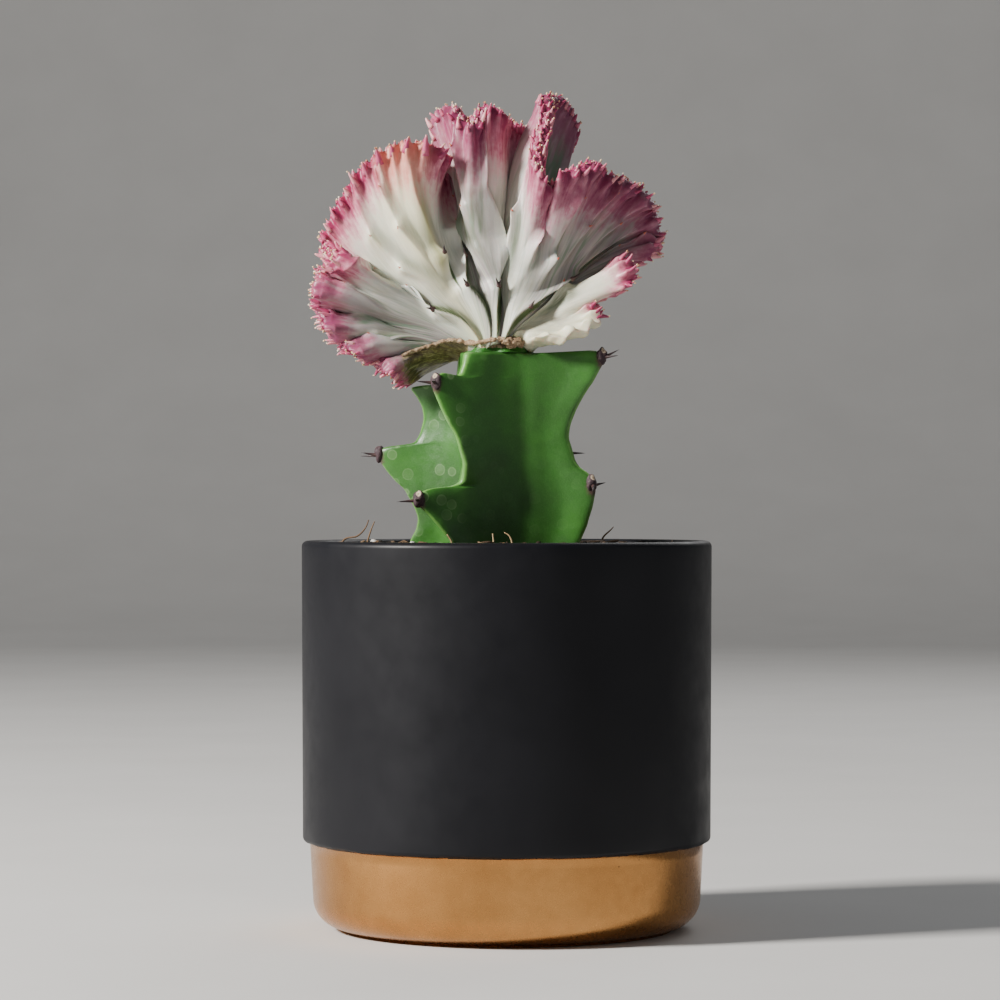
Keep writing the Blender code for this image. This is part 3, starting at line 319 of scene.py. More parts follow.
# The skin is greyer between the ribs, a grey-green tint with painted shade in the hollows: up to this
# height in the relief, and how much by reach.
HOLLOW_SHADE_DEPTH = 1.8 * MM
HOLLOW_SHADE_RUN = ((0, 0), (0.1, 0.8), (0.6, 0.8), (0.9, 0))
FAR = 40 * MM
SHARE_OF_CLEARANCE = 0.42
SHARE_OF_BEND = 0.7

# The growing edge, lobe by lobe from lower left to lower right. Each place has its x, its depth
# and its height, then how far the ray that leads to it bows sideways and upwards, all in mm.
UNDER_FLAP = [
    (-30, 10, 169, 0, 1), (-33, 4, 170, 0, 1), (-34, -4, 171, 0, 2),
]
LOWER_LEFT_LOBE = [
    (-37, -12, 172, 0, 3), (-39.5, -6, 174, 0, 2), (-42.5, -4, 175.5, 0, 1.5),
    (-45, -9, 177, 0, 1), (-47.5, -13, 178.5, 0, 0.5), (-50.5, -7, 180.5, 0, 0),
    (-52, -2, 182, 0, 0), (-54.5, -9, 184.5, 0, 0), (-55.5, -13, 186, 0, 0),
    (-57, -6, 189, 0, 0), (-59, 0, 193, 0, 0), (-59, -8, 195, 0, 0),
    (-59, -14, 197, 0, 0), (-58, -8, 200.5, 0, 0), (-58.5, -4, 203.5, 0, 0),
    (-55.5, -8, 205.5, 0, 0), (-51, -13, 207, 0, 0),
]
UPPER_LEFT_LOBE = [
    (-53.5, -4, 209, -0.5, -0.5), (-57.5, 2, 211.5, -1, -1), (-57, 4, 215, -2, -2),
    (-55.5, 2, 217.5, -2.5, -2.5), (-54, 0, 221.5, -3, -3), (-51.5, -1, 225.5, -3.5, -3),
    (-49, -2, 229.5, -4, -3), (-45, -4, 234.5, -4.5, -3), (-39.5, -6, 239, -5, -3),
    (-34.5, -8, 241.5, -6, -2), (-30, -9, 242.5, -7.5, -0.5), (-25, -9, 242, -8.5, 0),
    (-21, -7, 241, -9.2, 0), (-19.5, -1, 239.5, -9, 0), (-21.5, 7, 238, -7, 0),
]
MIDDLE_LOBE = [
    (-20, 15, 237.5, -3, 0), (-19, 19, 242, 1, 0), (-21, 17.5, 248, 3, 0),
    (-21.5, 12.5, 252.5, 3, 0),
    (-20, 8, 254.5, 2, 0), (-17, 3, 255, 0, 0), (-14, -1, 251.5, -1, 0),
    (-11, -5, 247.5, -2.5, 0), (-9.5, -2, 250.5, -2.5, 0), (-8.5, 0, 254, -2, 0),
    (-5.5, 1, 254.5, -1, 0), (-2.5, 3, 253.5, -0.5, 0),
]
TALL_COLUMN = [
    (-1, 9, 251.5, 0, 0), (1.5, 18, 250.5, 0, 0), (5.5, 25, 250, 0, 0),
    (12.5, 31, 244, 0, 0), (18.5, 32, 244.5, 0, 0), (21, 29, 252.5, 0, 0),
    (19, 24, 258.0, -2, 0), (16, 19, 259.5, -5.5, 0), (13, 14, 258.5, -8.5, 0),
    (13, 8, 258.5, -8, 0), (13.5, 3, 255, -3.5, 0), (12, -1, 249, -1, 0),
    (10.5, -5, 244.5, 0, 0), (9.5, -8, 240.5, 0, 0), (10, -10, 237, 0, 0),
    (11, -11, 233.5, 0, 0), (12, -10, 230, 0, 0), (13, -6, 227.5, 0, 0),
    (15, -3, 227.5, 0, 0), (16.5, -7, 230, 0, 0), (17.5, -10, 233, 0, 0),
]
RIGHT_LOBE = [
    (20.5, -9, 234, 0, 1), (24, -6, 235.5, 0, 2), (27.5, -2, 237, 0, 2.5),
    (29.5, 2, 235.5, 0, 3), (32, 2, 233, 0, 3), (35.5, 6, 233, 0, 3.5),
    (38.5, 6, 231, 0, 4), (41, 12, 230.5, 0, 4.5), (43.5, 11, 228, 0, 5),
    (46.5, 17, 225, 0, 5.5), (47.5, 16, 220, 0, 6), (49, 19, 215, 0, 7),
    (48, 15, 212, 0, 7.5), (45.5, 9, 210, 0, 7.5), (43, 12, 208.5, 0, 7),
    (40.5, 14, 207.5, 0, 6.5),
]
LOWER_RIGHT_LOBES = [
    (36.5, 8, 205, 0, 2), (36.5, -1, 206.5, 0, 2), (38.5, -7, 205, 0, 1.5),
    (39.5, -9, 203, 0, 1.5), (38, -9, 199.5, 0, 1.5), (34.5, -8, 198.2, 0, 1.5),
    (31, -5.5, 198, 0, 1.2), (28.2, -4.5, 194.5, 0, 0), (27, -6.5, 191.8, 0, 0),
    (28.5, -9.5, 190, 0, 0), (28, -11.5, 187.5, 0, 0), (25, -14, 185.5, 0, -0.5),
    (20, -16, 183.5, 0, -0.5), (14, -17, 182.5, 0, -0.5), (8.5, -16, 182.5, 0, 0),
]
CREST_EDGE = (UNDER_FLAP + LOWER_LEFT_LOBE + UPPER_LEFT_LOBE + MIDDLE_LOBE + TALL_COLUMN
              + RIGHT_LOBE + LOWER_RIGHT_LOBES)
FOLD_BLUR = ((0, 45), (0.2, 30), (0.35, 18), (0.5, 10), (0.7, 5), (0.85, 2.2), (1, 0.5))

# Ribs on the crest's front, row by row. line: share of the edge at each reach; height in mm at each
# reach; sides: half widths in mm towards the lower and the higher share; bosses: their reaches.
FRONT_RIBS = [dict(zip(("line", "height", "sides", "bosses"), rib)) for rib in (
    (((0, 0.330), (0.17, 0.30), (0.33, 0.252), (0.68, 0.253), (0.87, 0.232), (1, 0.205)),
     ((0, 1.0), (0.1, 2.6), (0.2, 3.8), (0.33, 5.2), (0.37, 2.6), (0.5, 4.8),
      (0.54, 2.6), (0.68, 4.8), (0.73, 3.0), (1, 1.0)),
     (3.6, 3.4), (0.33, 0.50, 0.68)),
    (((0, 0.370), (0.22, 0.364), (0.38, 0.316), (0.53, 0.297), (0.75, 0.290), (1, 0.295)),
     ((0, 0), (0.3, 0.6), (0.53, 2.0), (0.6, 1.2), (0.75, 2.4), (0.8, 1.2), (1, 1.6)),
     (6.0, 4.0), (0.53, 0.75)),
    (((0, 0.350), (0.43, 0.329), (0.67, 0.316), (0.87, 0.3125), (1, 0.311)),
     ((0, 0), (0.4, 0.6), (0.67, 2.6), (0.71, 1.2), (0.87, 2.2), (1, 1.8)),
     (5.0, 4.0), (0.67, 0.87)),
    (((0, 0.370), (0.47, 0.346), (0.75, 0.337), (1, 0.333)),
     ((0, 0), (0.35, 0.6), (0.47, 3.2), (0.52, 1.4), (0.68, 1.6), (1, 1.2)),
     (5.0, 3.0), (0.47,)),
    (((0, 0.450), (0.07, 0.440), (0.28, 0.376), (0.42, 0.392), (0.60, 0.383),
      (0.67, 0.396), (1, 0.404)),
     ((0, 1.2), (0.1, 3.0), (0.2, 4.2), (0.28, 5.8), (0.32, 3.0), (0.42, 5.4),
      (0.47, 2.8), (0.6, 6.2), (0.65, 3.0), (0.87, 3.0), (1, 1.0)),
     (7.0, 3.0), (0.28, 0.42, 0.60)),
    (((0, 0.470), (0.2, 0.464), (0.45, 0.448), (0.77, 0.430), (1, 0.427)),
     ((0, 0), (0.3, 0.8), (0.55, 3.2), (0.6, 2.0), (0.8, 3.6), (0.84, 2.2), (1, 2.4)),
     (4.0, 2.6), (0.55, 0.8)),
    (((0, 0.560), (0.05, 0.530), (0.23, 0.481), (0.42, 0.500), (0.68, 0.478), (1, 0.487)),
     ((0, 2.0), (0.1, 4.0), (0.23, 6.2), (0.28, 3.4), (0.42, 5.8), (0.48, 3.4),
      (0.7, 3.6), (1, 1.0)),
     (9.0, 3.0), (0.23, 0.42)),
    (((0, 0.600), (0.3, 0.655), (0.63, 0.663), (1, 0.660)),
     ((0, 0), (0.3, 0.6), (0.63, 3.4), (0.68, 1.8), (1, 1.0)),
     (7.0, 4.0), (0.63,)),
    (((0, 0.700), (0.05, 0.720), (0.2, 0.758), (0.38, 0.800), (0.6, 0.811), (1, 0.826)),
     ((0, 2.0), (0.1, 3.6), (0.2, 4.6), (0.25, 2.6), (0.38, 5.2), (0.43, 2.8),
      (0.6, 3.8), (1, 1.0)),
     (8.0, 3.0), (0.20, 0.38)),
    (((0, 0.840), (0.3, 0.890), (0.7, 0.904), (1, 0.910)),
     ((0, 0.5), (0.3, 2.0), (0.52, 3.2), (0.58, 1.6), (1, 1.0)),
     (4.0, 4.0), (0.52,)),
    (((0, 0.140), (0.5, 0.155), (1, 0.160)),
     ((0, 0), (0.4, 0.6), (0.75, 2.2), (1, 1.0)),
     (6.0, 5.0), (0.75,)),
    (((0, 0.100), (0.5, 0.113), (1, 0.118)),
     ((0, 0), (0.4, 0.8), (0.7, 3.4), (0.75, 1.6), (1, 1.6)),
     (4.0, 3.0), (0.7,)),
    (((0, 0.060), (0.5, 0.082), (1, 0.088)),
     ((0, 0), (0.45, 0.8), (0.72, 2.0), (0.85, 2.8), (1, 1.6)),
     (3.5, 3.0), (0.85,)),
    (((0, 0.120), (0.5, 0.132), (1, 0.137)),
     ((0, 0), (0.5, 0.6), (0.8, 2.8), (0.85, 1.6), (1, 2.0)),
     (3.5, 3.0), (0.8,)),
    (((0, 0.170), (0.5, 0.180), (1, 0.185)),
     ((0, 0), (0.4, 0.6), (0.75, 2.0), (0.86, 2.6), (1, 1.8)),
     (4.0, 3.0), (0.86,)),
    (((0, 0.240), (0.4, 0.236), (1, 0.262)),
     ((0, 0), (0.5, 0.8), (0.72, 2.8), (0.77, 1.4), (0.9, 2.6), (1, 2.0)),
     (5.0, 3.0), (0.72, 0.9)),
    (((0, 0.400), (0.5, 0.408), (1, 0.414)),
     ((0, 0), (0.5, 0.6), (0.72, 2.6), (0.76, 1.4), (0.9, 3.0), (1, 2.0)),
     (4.0, 2.6), (0.72, 0.9)),
    (((0, 0.465), (0.5, 0.462), (1, 0.455)),
     ((0, 0), (0.4, 0.6), (0.62, 3.0), (0.66, 1.8), (0.88, 3.2), (1, 2.0)),
     (4.0, 2.6), (0.62, 0.88)),
    (((0, 0.640), (0.4, 0.700), (1, 0.705)),
     ((0, 0), (0.45, 0.8), (0.7, 3.2), (0.75, 1.8), (1, 2.6)),
     (4.0, 3.0), (0.7,)),
    (((0, 0.690), (0.3, 0.735), (1, 0.742)),
     ((0, 0), (0.3, 0.6), (0.5, 2.4), (0.55, 1.4), (0.82, 3.4), (1, 2.4)),
     (6.0, 3.0), (0.5, 0.82)),
    (((0, 0.700), (0.3, 0.762), (1, 0.776)),
     ((0, 0), (0.4, 0.8), (0.66, 3.0), (0.7, 1.8), (0.9, 3.2), (1, 2.2)),
     (6.0, 3.0), (0.66, 0.9)),
    (((0, 0.720), (0.3, 0.790), (1, 0.802)),
     ((0, 0), (0.5, 1.4), (0.75, 3.2), (0.8, 2.0), (1, 2.4)),
     (5.0, 3.0), (0.75,)),
    (((0, 0.780), (0.4, 0.822), (1, 0.846)),
     ((0, 0), (0.5, 1.6), (0.7, 3.0), (0.74, 1.8), (0.9, 3.0), (1, 2.2)),
     (4.0, 3.0), (0.7, 0.9)),
)]
BACK_RIBS = 13
BACK_RIB_HEIGHT = 3.6
BACK_RIB_SIDES = (5.0, 5.0)
BACK_BOSS_REACHES = (0.45, 0.74)


def rounded_line(places, steps):
    """A smooth run through the places, with the same number of steps between each two."""
    known = np.array(places, float)
    known = np.vstack([2 * known[0] - known[1], known, 2 * known[-1] - known[-2]])
    share = np.linspace(0, 1, steps, endpoint=False)[:, None]
    runs = []
    for before, start, end, after in zip(known, known[1:], known[2:], known[3:]):
        first = math.sqrt(np.linalg.norm((start - before)[:3]))
        middle = math.sqrt(np.linalg.norm((end - start)[:3]))
        last = math.sqrt(np.linalg.norm((after - end)[:3]))
        leave = ((start - before) / first - (end - before) / (first + middle)
                 + (end - start) / middle) * middle
        arrive = ((end - start) / middle - (after - start) / (middle + last)
                  + (after - end) / last) * middle
        runs.append((2 * share**3 - 3 * share**2 + 1) * start
                    + (share**3 - 2 * share**2 + share) * leave
                    + (3 * share**2 - 2 * share**3) * end + (share**3 - share**2) * arrive)
    return np.vstack(runs + [known[-2:-1]])


def evenly_spaced(line, count):
    """The same line with places at equal distances, and its length."""
    lengths = np.linalg.norm(np.diff(line[:, :3], axis=0), axis=1)
    walked = np.concatenate([[0.0], np.cumsum(lengths)])
    wanted = np.linspace(0, walked[-1], count)
    return np.stack([np.interp(wanted, walked, column) for column in line.T], 1), walked[-1]


def blurred(line, width, ends="odd"):
    """The line with its folds evened out by a Gaussian of a width in steps. Past its ends it
    goes on turned about them if they are odd, mirrored if they are even."""
    if width < 0.3:
        return line
    reach = min(int(3 * width), len(line) - 2) + 1
    weights = np.exp(-0.5 * (np.arange(-reach, reach + 1) / width) ** 2)
    weights /= weights.sum()
    longer = np.pad(line, ((reach, reach), (0, 0)), mode="reflect", reflect_type=ends)
    return np.stack([np.convolve(column, weights, mode="valid") for column in longer.T], 1)


def keyed(keys, value):
    """Read a table of keys at a value."""
    return np.interp(value, [key[0] for key in keys], [key[1] for key in keys])


crest_edge, crest_length = evenly_spaced(rounded_line(CREST_EDGE, 16) * MM, CREST_COLUMNS + 1)
crest_share = np.linspace(0, 1, CREST_COLUMNS + 1)
crest_foot = np.stack([keyed([(key, place[axis]) for key, place in CREST_FOOT], crest_share)
                       for axis in range(3)], 1) * MM


def crest_row(reach):
    """The middle of the sheet along the whole edge, at a reach between its foot and its edge."""
    line = blurred(crest_edge, keyed(FOLD_BLUR, reach) * MM * CREST_COLUMNS / crest_length)
    row = crest_foot + reach * (line[:, :3] - crest_foot)
    bow = 4 * reach * (1 - reach)
    row[:, 0] += bow * line[:, 3]
    row[:, 2] += bow * line[:, 4]
    return row


def sheet_normals(sheet, reaches, step):
    """The direction in which the sheet is thickened: square to it, and evened out near the
    graft, where the columns crowd."""
    normals = np.cross(np.gradient(sheet, axis=1), np.gradient(sheet, axis=0))
    normals /= np.linalg.norm(normals, axis=2, keepdims=True)
    for row, reach in enumerate(reaches):
        width = keyed(NORMAL_BLUR, reach) * COARSE_STEP / step
        normals[row] = blurred(normals[row], width, "even")
    return normals / np.linalg.norm(normals, axis=2, keepdims=True)


def bend_limits(sheet, normals):
    """The thickness at which the sheet's inside would pleat, from how fast its normals turn."""
    limits = np.full(sheet.shape[:2], FAR)
    for axis in (0, 1):
        step = np.diff(sheet, axis=axis)
        turn = np.diff(normals, axis=axis)
        closing = -np.sum(step * turn, axis=2)
        room = np.where(closing > 0, np.sum(step * step, axis=2) / np.maximum(closing, 1e-9), FAR)
        before = (slice(None, -1), slice(None)) if axis == 0 else (slice(None), slice(None, -1))
        after = (slice(1, None), slice(None)) if axis == 0 else (slice(None), slice(1, None))
        limits[before] = np.minimum(limits[before], room)
        limits[after] = np.minimum(limits[after], room)
    return limits


def clear_depths(sheet, normals):
    """How far each place can see along its normal before another fold."""
    height, width = sheet.shape[:2]
    faces = [(i * width + j, i * width + j + 1, (i + 1) * width + j + 1, (i + 1) * width + j)
             for i in range(height - 1) for j in range(width - 1)]
    tree = BVHTree.FromPolygons(sheet.reshape(-1, 3).tolist(), faces)
    depths = np.full((height, width), FAR)
    for i in range(height):
        for j in range(width):
            look = Vector(normals[i, j])
            distance = tree.ray_cast(Vector(sheet[i, j]) + look * 0.2 * MM, look, FAR)[3]
            if distance is not None:
                depths[i, j] = distance
    return depths


def room_for(sheet, normals):
    """How thick one face may be, worked out on the coarse sheet and spread over the fine one."""
    limit = np.minimum(SHARE_OF_CLEARANCE * clear_depths(sheet, normals),
                       SHARE_OF_BEND * bend_limits(sheet, normals))
    limit = np.minimum(limit, MOST_HALF)
    rows = np.stack([np.interp(CREST_REACHES, COARSE_REACHES, column) for column in limit.T], 1)
    wanted = np.arange(CREST_COLUMNS + 1) / COARSE_STEP
    known = np.arange(sheet.shape[1])
    rows = np.array([np.interp(wanted, known, row) for row in rows])
    return blurred(rows.T, ROOM_BLUR, "even").T


# A rib's section by the share of its half width, and how wide it is by reach.
RIB_POWER = 1.4
RIB_SPREAD = ((0, 0.35), (0.3, 0.9), (1, 0.8))
# Its steep side is green, its own green deepened by painted shade: about which share of its half width,
# how far around that, from which height of the rib on, and by reach.
SHADE_AT = 0.6
SHADE_SPREAD = 0.5
SHADE_HEIGHT = 2.5 * MM
RIB_GREEN_SHADE = ((0, 0.25), (0.12, 0.7), (0.25, 1.0), (0.5, 0.8), (0.75, 0.3), (1, 0.0))
# Under each low boss the rib has a dark green flank, its own green darkened by painted shade: a wedge
# that narrows towards the graft over a share of the reach. Higher bosses are small and have no spines.
SPINY_REACH = 0.5
FLANK_RUN = 0.26
FLANK_WIDTH = 2.7 * MM
FLANK_SOFT = 0.4 * MM
FLANK_GREEN_SHADE = 1.25
BOSS_HEIGHT = ((0.5, 2.2), (0.6, 0.5), (1, 0.4))
BOSS_RISE = 4.5 * MM
BOSS_FALL = 1.1 * MM
BOSS_WIDTH = 1.5 * MM


def rib_relief(ribs, stretch, share):
    """Height of the ribs over one face, and how green their steep sides are, a green that is partly
    painted shade, row by row.
    """
    relief = np.zeros(stretch.shape)
    green = np.zeros(stretch.shape)
    for row, reach in enumerate(CREST_REACHES):
        for rib in ribs:
            offset = (share - keyed(rib["line"], reach)) * stretch[row]
            side = np.where(offset < 0, *rib["sides"]) * MM * keyed(RIB_SPREAD, reach)
            height = keyed(rib["height"], reach) * MM
            shape = np.clip(1 - np.abs(offset) / side, 0, 1) ** RIB_POWER
            relief[row] = np.maximum(relief[row], height * shape)
            # The steep side's green is its own green deepened by painted shade, and so are the flanks
            # under the bosses.
            shade = np.exp(-((offset / side - SHADE_AT) / SHADE_SPREAD) ** 2)
            shade = shade * np.clip(height / SHADE_HEIGHT, 0, 1)
            green[row] = np.maximum(green[row], shade * keyed(RIB_GREEN_SHADE, reach))
            for boss in rib["bosses"]:
                if boss < SPINY_REACH and 0 <= boss - reach <= FLANK_RUN:
                    width = FLANK_WIDTH * (1 - (boss - reach) / FLANK_RUN)
                    flank = (np.clip(offset / FLANK_SOFT, 0, 1)
                             * np.clip((width - offset) / FLANK_SOFT, 0, 1))
                    green[row] = np.maximum(green[row], FLANK_GREEN_SHADE * flank)
    return relief, green


def boss_place(rib, boss):
    """The row and the column of a boss on the sheet."""
    row = int(np.argmin(np.abs(CREST_REACHES - boss)))
    return row, int(round(keyed(rib["line"], CREST_REACHES[row]) * CREST_COLUMNS))


def boss_bumps(ribs, stretch, share):
    """The bosses' points on one face: a slow rise from the graft's side, then a sharp step."""
    bumps = np.zeros(stretch.shape)
    for rib in ribs:
        for boss in rib["bosses"]:
            column = boss_place(rib, boss)[1]
            ray = np.linalg.norm(crest_middle[-1, column] - crest_middle[0, column])
            along = (CREST_REACHES[:, None] - boss) * ray
            across = (share[None, :] - keyed(rib["line"], CREST_REACHES)[:, None]) * stretch
            fall = np.where(along < 0, BOSS_RISE, BOSS_FALL)
            bump = np.exp(-np.abs(along / fall) ** 1.5 - (across / BOSS_WIDTH) ** 2)
            bumps = np.maximum(bumps, keyed(BOSS_HEIGHT, boss) * MM * bump)
    return bumps


# The fingers along the edge: for each stretch of it, from a share on, their spacing, their
# length, half their thickness and how far their ribs run down the sheet, all in mm.
FINGER_ZONES = ((0.0, 1.9, 2.0, 0.85, 7), (0.10, 2.0, 2.1, 0.85, 7), (0.29, 2.6, 3.4, 1.0, 14),
                (0.345, 2.3, 2.0, 0.95, 10), (0.46, 1.8, 1.9, 0.8, 8), (0.55, 1.3, 1.5, 0.8, 7),
                (0.69, 2.0, 2.0, 0.85, 10), (0.86, 2.1, 1.9, 0.85, 7), (0.96, 4.0, 1.0, 0.7, 4))
# Each one's length, half thickness, run and the way to the next are drawn about these, as shares.
FINGER_VARIETY = ((0.6, 1.35), (0.8, 1.2), (0.6, 1.3))
SPACING_VARIETY = (0.65, 1.3)
EDGE_ENDS = 1.0 * MM
FINGER_RIDGE = 1.6 * MM
FINGER_RIDGE_WIDTH = 1.0 * MM
EDGE_ZIGZAG = 1.1 * MM
EDGE_ZIGZAG_REACH = 6.0 * MM
ZIGZAG_SHARE = 0.35
# The sheet is drawn out under each finger: by a share of its length, how wide and from how far in.
FINGER_ROOT_SHARE = 0.45
FINGER_ROOT_WIDTH = 0.7 * MM
FINGER_ROOT_REACH = 1.6 * MM
# How many columns a finger tells on to each side, and the least that the folds crowd them.
FINGER_COLUMNS = 12
LEAST_STRETCH = 0.35
FINGERS_END = 0.96
TIP_CLEARANCE = 0.05 * MM
# A finger leans off the sheet and sways along it, and its root is sunk in the sheet. Smaller ones
# stand on the very edge between the two rows.
FINGER_LEAN = (0.15, 0.5)
FINGER_SWAY = 0.25
FINGER_BEND = 0.25
FINGER_SUNK = 0.2 * MM
FINGER_INSET = 0.7
FINGER_ROOT = 0.6 * MM
FINGER_ROW_DISTANCE = 1.3 * MM
SMALL_FINGER_START = 0.8 * MM
SMALL_FINGER_LEAN = 0.5
SMALL_FINGER_SPACING = (1.1, 2.0)
SMALL_FINGER_LENGTH = (0.8, 1.5)
SMALL_FINGER_RADIUS = (0.45, 0.65)
SMALL_FINGER_SUNK = 0.5 * MM
# Beads on a finger's tip: how many, one drawn from these, then their radius, length and place.
BEADS_ON_TIP = (0, 0, 1, 1, 2)
BEAD_RADIUS = (0.20, 0.36)
BEAD_LENGTH = 1.3
BEAD_SPREAD = 0.4
BEAD_HEIGHT = (-0.15, 0.25)


def edge_fingers():
    """Each finger's distance along the edge, its side, length, half thickness and rib's run."""
    draw = random.Random(4)
    fingers = []
    along = EDGE_ENDS
    side = 1
    while along < crest_length - EDGE_ENDS:
        zone = [zone for zone in FINGER_ZONES if zone[0] <= along / crest_length][-1]
        sizes = [size * draw.uniform(*variety) * MM for size, variety in zip(zone[2:], FINGER_VARIETY)]
        fingers.append((along, side, *sizes))
        along += zone[1] * draw.uniform(*SPACING_VARIETY) * MM
        side = -side
    return fingers


def back_ribs():
    """Ribs on the crest's back, spread by a rule with a seeded draw."""
    draw = random.Random(11)
    ribs = []
    for k in range(BACK_RIBS):
        share = (k + 0.5) / BACK_RIBS + draw.uniform(-0.015, 0.015)
        foot = 0.5 + (share - 0.5) * 0.8
        tall = BACK_RIB_HEIGHT * draw.uniform(0.7, 1.0)
        ribs.append({"line": ((0, foot), (0.5, share), (1, share)),
                     "height": ((0, 0.5), (0.34, tall), (0.4, 0.6 * tall), (0.56, tall),
                                (0.62, 0.5 * tall), (0.76, 0.8 * tall), (1, 0.8)),
                     "sides": BACK_RIB_SIDES, "bosses": BACK_BOSS_REACHES[k % 2:][:1]})
    return ribs


crest_middle = np.array([crest_row(reach) for reach in CREST_REACHES])
crest_normals = sheet_normals(crest_middle, CREST_REACHES, 1)
coarse_middle = np.array([crest_row(reach)[::COARSE_STEP] for reach in COARSE_REACHES])
coarse_normals = sheet_normals(coarse_middle, COARSE_REACHES, COARSE_STEP)
edge_distance = np.linalg.norm(crest_middle[-1] - crest_middle, axis=2)
stretch = np.linalg.norm(np.gradient(crest_middle, axis=1), axis=2) * CREST_COLUMNS
crest_round = np.sqrt(np.clip(edge_distance / CREST_EDGE_ROUND, 0, 1))
crest_half = keyed(CREST_HALF, CREST_REACHES)[:, None] * MM
end_steps = np.minimum(np.arange(CREST_COLUMNS + 1), np.arange(CREST_COLUMNS, -1, -1))
end_taper = np.sqrt(np.clip(end_steps / END_COLUMNS, 0, 1))
fade = EDGE_RELIEF + (1 - EDGE_RELIEF) * np.clip(edge_distance / EDGE_RELIEF_RUN, 0, 1)
fingers = edge_fingers()
finger_relief = {1: np.zeros(stretch.shape), -1: np.zeros(stretch.shape)}
finger_reach = np.zeros(stretch.shape)
zigzag = np.zeros(stretch.shape)
finger_step = crest_length / CREST_COLUMNS
for along, side, length, thickness, run in fingers:
    first = int(along / finger_step) + 1 - FINGER_COLUMNS
    near = slice(max(0, first), first + 2 * FINGER_COLUMNS)
    offset = (np.arange(CREST_COLUMNS + 1)[near] * finger_step - along)[None, :]
    offset = offset * np.clip(stretch[:, near] / crest_length, LEAST_STRETCH, 1)
    for field, size, width, depth in (
            (finger_relief[side], FINGER_RIDGE, FINGER_RIDGE_WIDTH, run),
            (zigzag, side * EDGE_ZIGZAG, 1.3 * FINGER_RIDGE_WIDTH, EDGE_ZIGZAG_REACH),
            (finger_reach, FINGER_ROOT_SHARE * length, FINGER_ROOT_WIDTH, FINGER_ROOT_REACH)):
        field[:, near] += (size * np.exp(-(offset / width) ** 2)
                           * np.clip(1 - edge_distance[:, near] / depth, 0, 1))

crest_room = {side: room_for(coarse_middle, side * coarse_normals) for side in (1, -1)}
zigzag = np.clip(zigzag, -ZIGZAG_SHARE * crest_room[-1], ZIGZAG_SHARE * crest_room[1])
crest_faces = {}
crest_green_shade = {}
crest_hollow_shade = {}
for side, ribs in ((1, FRONT_RIBS), (-1, back_ribs())):
    relief, green = rib_relief(ribs, stretch, crest_share)
    relief = (relief + boss_bumps(ribs, stretch, crest_share)) * fade
    spare = (crest_room[side] - 0.5 * crest_half) / (crest_half + relief)
    depth = np.minimum(crest_half, crest_room[side]) + relief * np.clip(spare, LEAST_RELIEF, 1)
    depth = np.maximum(depth, LEAST_HALF) + finger_relief[side]
    depth = depth * end_taper[None, :] * crest_round
    depth += side * zigzag * end_taper[None, :]
    crest_faces[side] = crest_middle + side * crest_normals * depth[:, :, None]
    crest_green_shade[side] = green
    # The grey between the ribs is partly painted shade in the hollows.
    crest_hollow_shade[side] = (np.clip(1 - relief / HOLLOW_SHADE_DEPTH, 0, 1)
                          * keyed(HOLLOW_SHADE_RUN, CREST_REACHES)[:, None])
outward = crest_middle[-1] - crest_middle[-6]
outward /= np.linalg.norm(outward, axis=1, keepdims=True)
for side in (1, -1):
    crest_faces[side] = crest_faces[side] + outward[None] * finger_reach[:, :, None]

row_count = len(CREST_REACHES)


def wrapped(front, back):
    """One array over both faces, from the front's foot over the edge to the back's foot, and on
    to the front's foot again."""
    return np.concatenate([front, back[-2::-1], front[:1]])


def on_both(values):
    """The same values over both faces."""
    return wrapped(plain + values, plain + values)


# By the share of the edge: how far the pink reaches in from it in mm, and how coral, how dusky and how
# creamy the skin is. The dusk is a mauve tint deepened by painted shade where the lobes face away from
# the lamp.
BLUSH_DEPTH = ((0, 8), (0.08, 11), (0.2, 14), (0.25, 16), (0.30, 17), (0.36, 22), (0.45, 28),
               (0.55, 20), (0.66, 22), (0.76, 26), (0.84, 18), (0.88, 13), (0.95, 8), (1, 3))
CORAL = ((0.308, 0), (0.32, 0.95), (0.338, 1.0), (0.35, 0.0))
# Dusk: a mauve tint darkened as painted shade on the lobes that face away from the lamp.
DUSK_SHADE = ((0.0, 0.6), (0.06, 1.1), (0.17, 1.1), (0.21, 0.3), (0.24, 0), (0.37, 0), (0.40, 0.8),
        (0.47, 0.9), (0.50, 0.15), (0.56, 0.4), (0.58, 1.5), (0.615, 1.5), (0.64, 0.5),
        (0.70, 0.4), (0.78, 1.1), (0.86, 1.0), (0.88, 0.2), (1, 0.0))
BUTTER = ((0.26, 0), (0.30, 0.35), (0.33, 0.9), (0.345, 0.5), (0.36, 0), (0.86, 0), (0.93, 0.5),
          (1, 0.8))
# A streak of olive runs down the left lobe: how strong it is by share and by reach. The last lobe
# is hardly pink at all.
OLIVE = ((0.332, 0), (0.341, 0.9), (0.350, 0))
OLIVE_RUN = ((0.3, 0), (0.45, 1), (0.72, 1), (0.85, 0))
PINK_LOSS = ((0.95, 0), (0.962, 0.8), (1, 0.95))
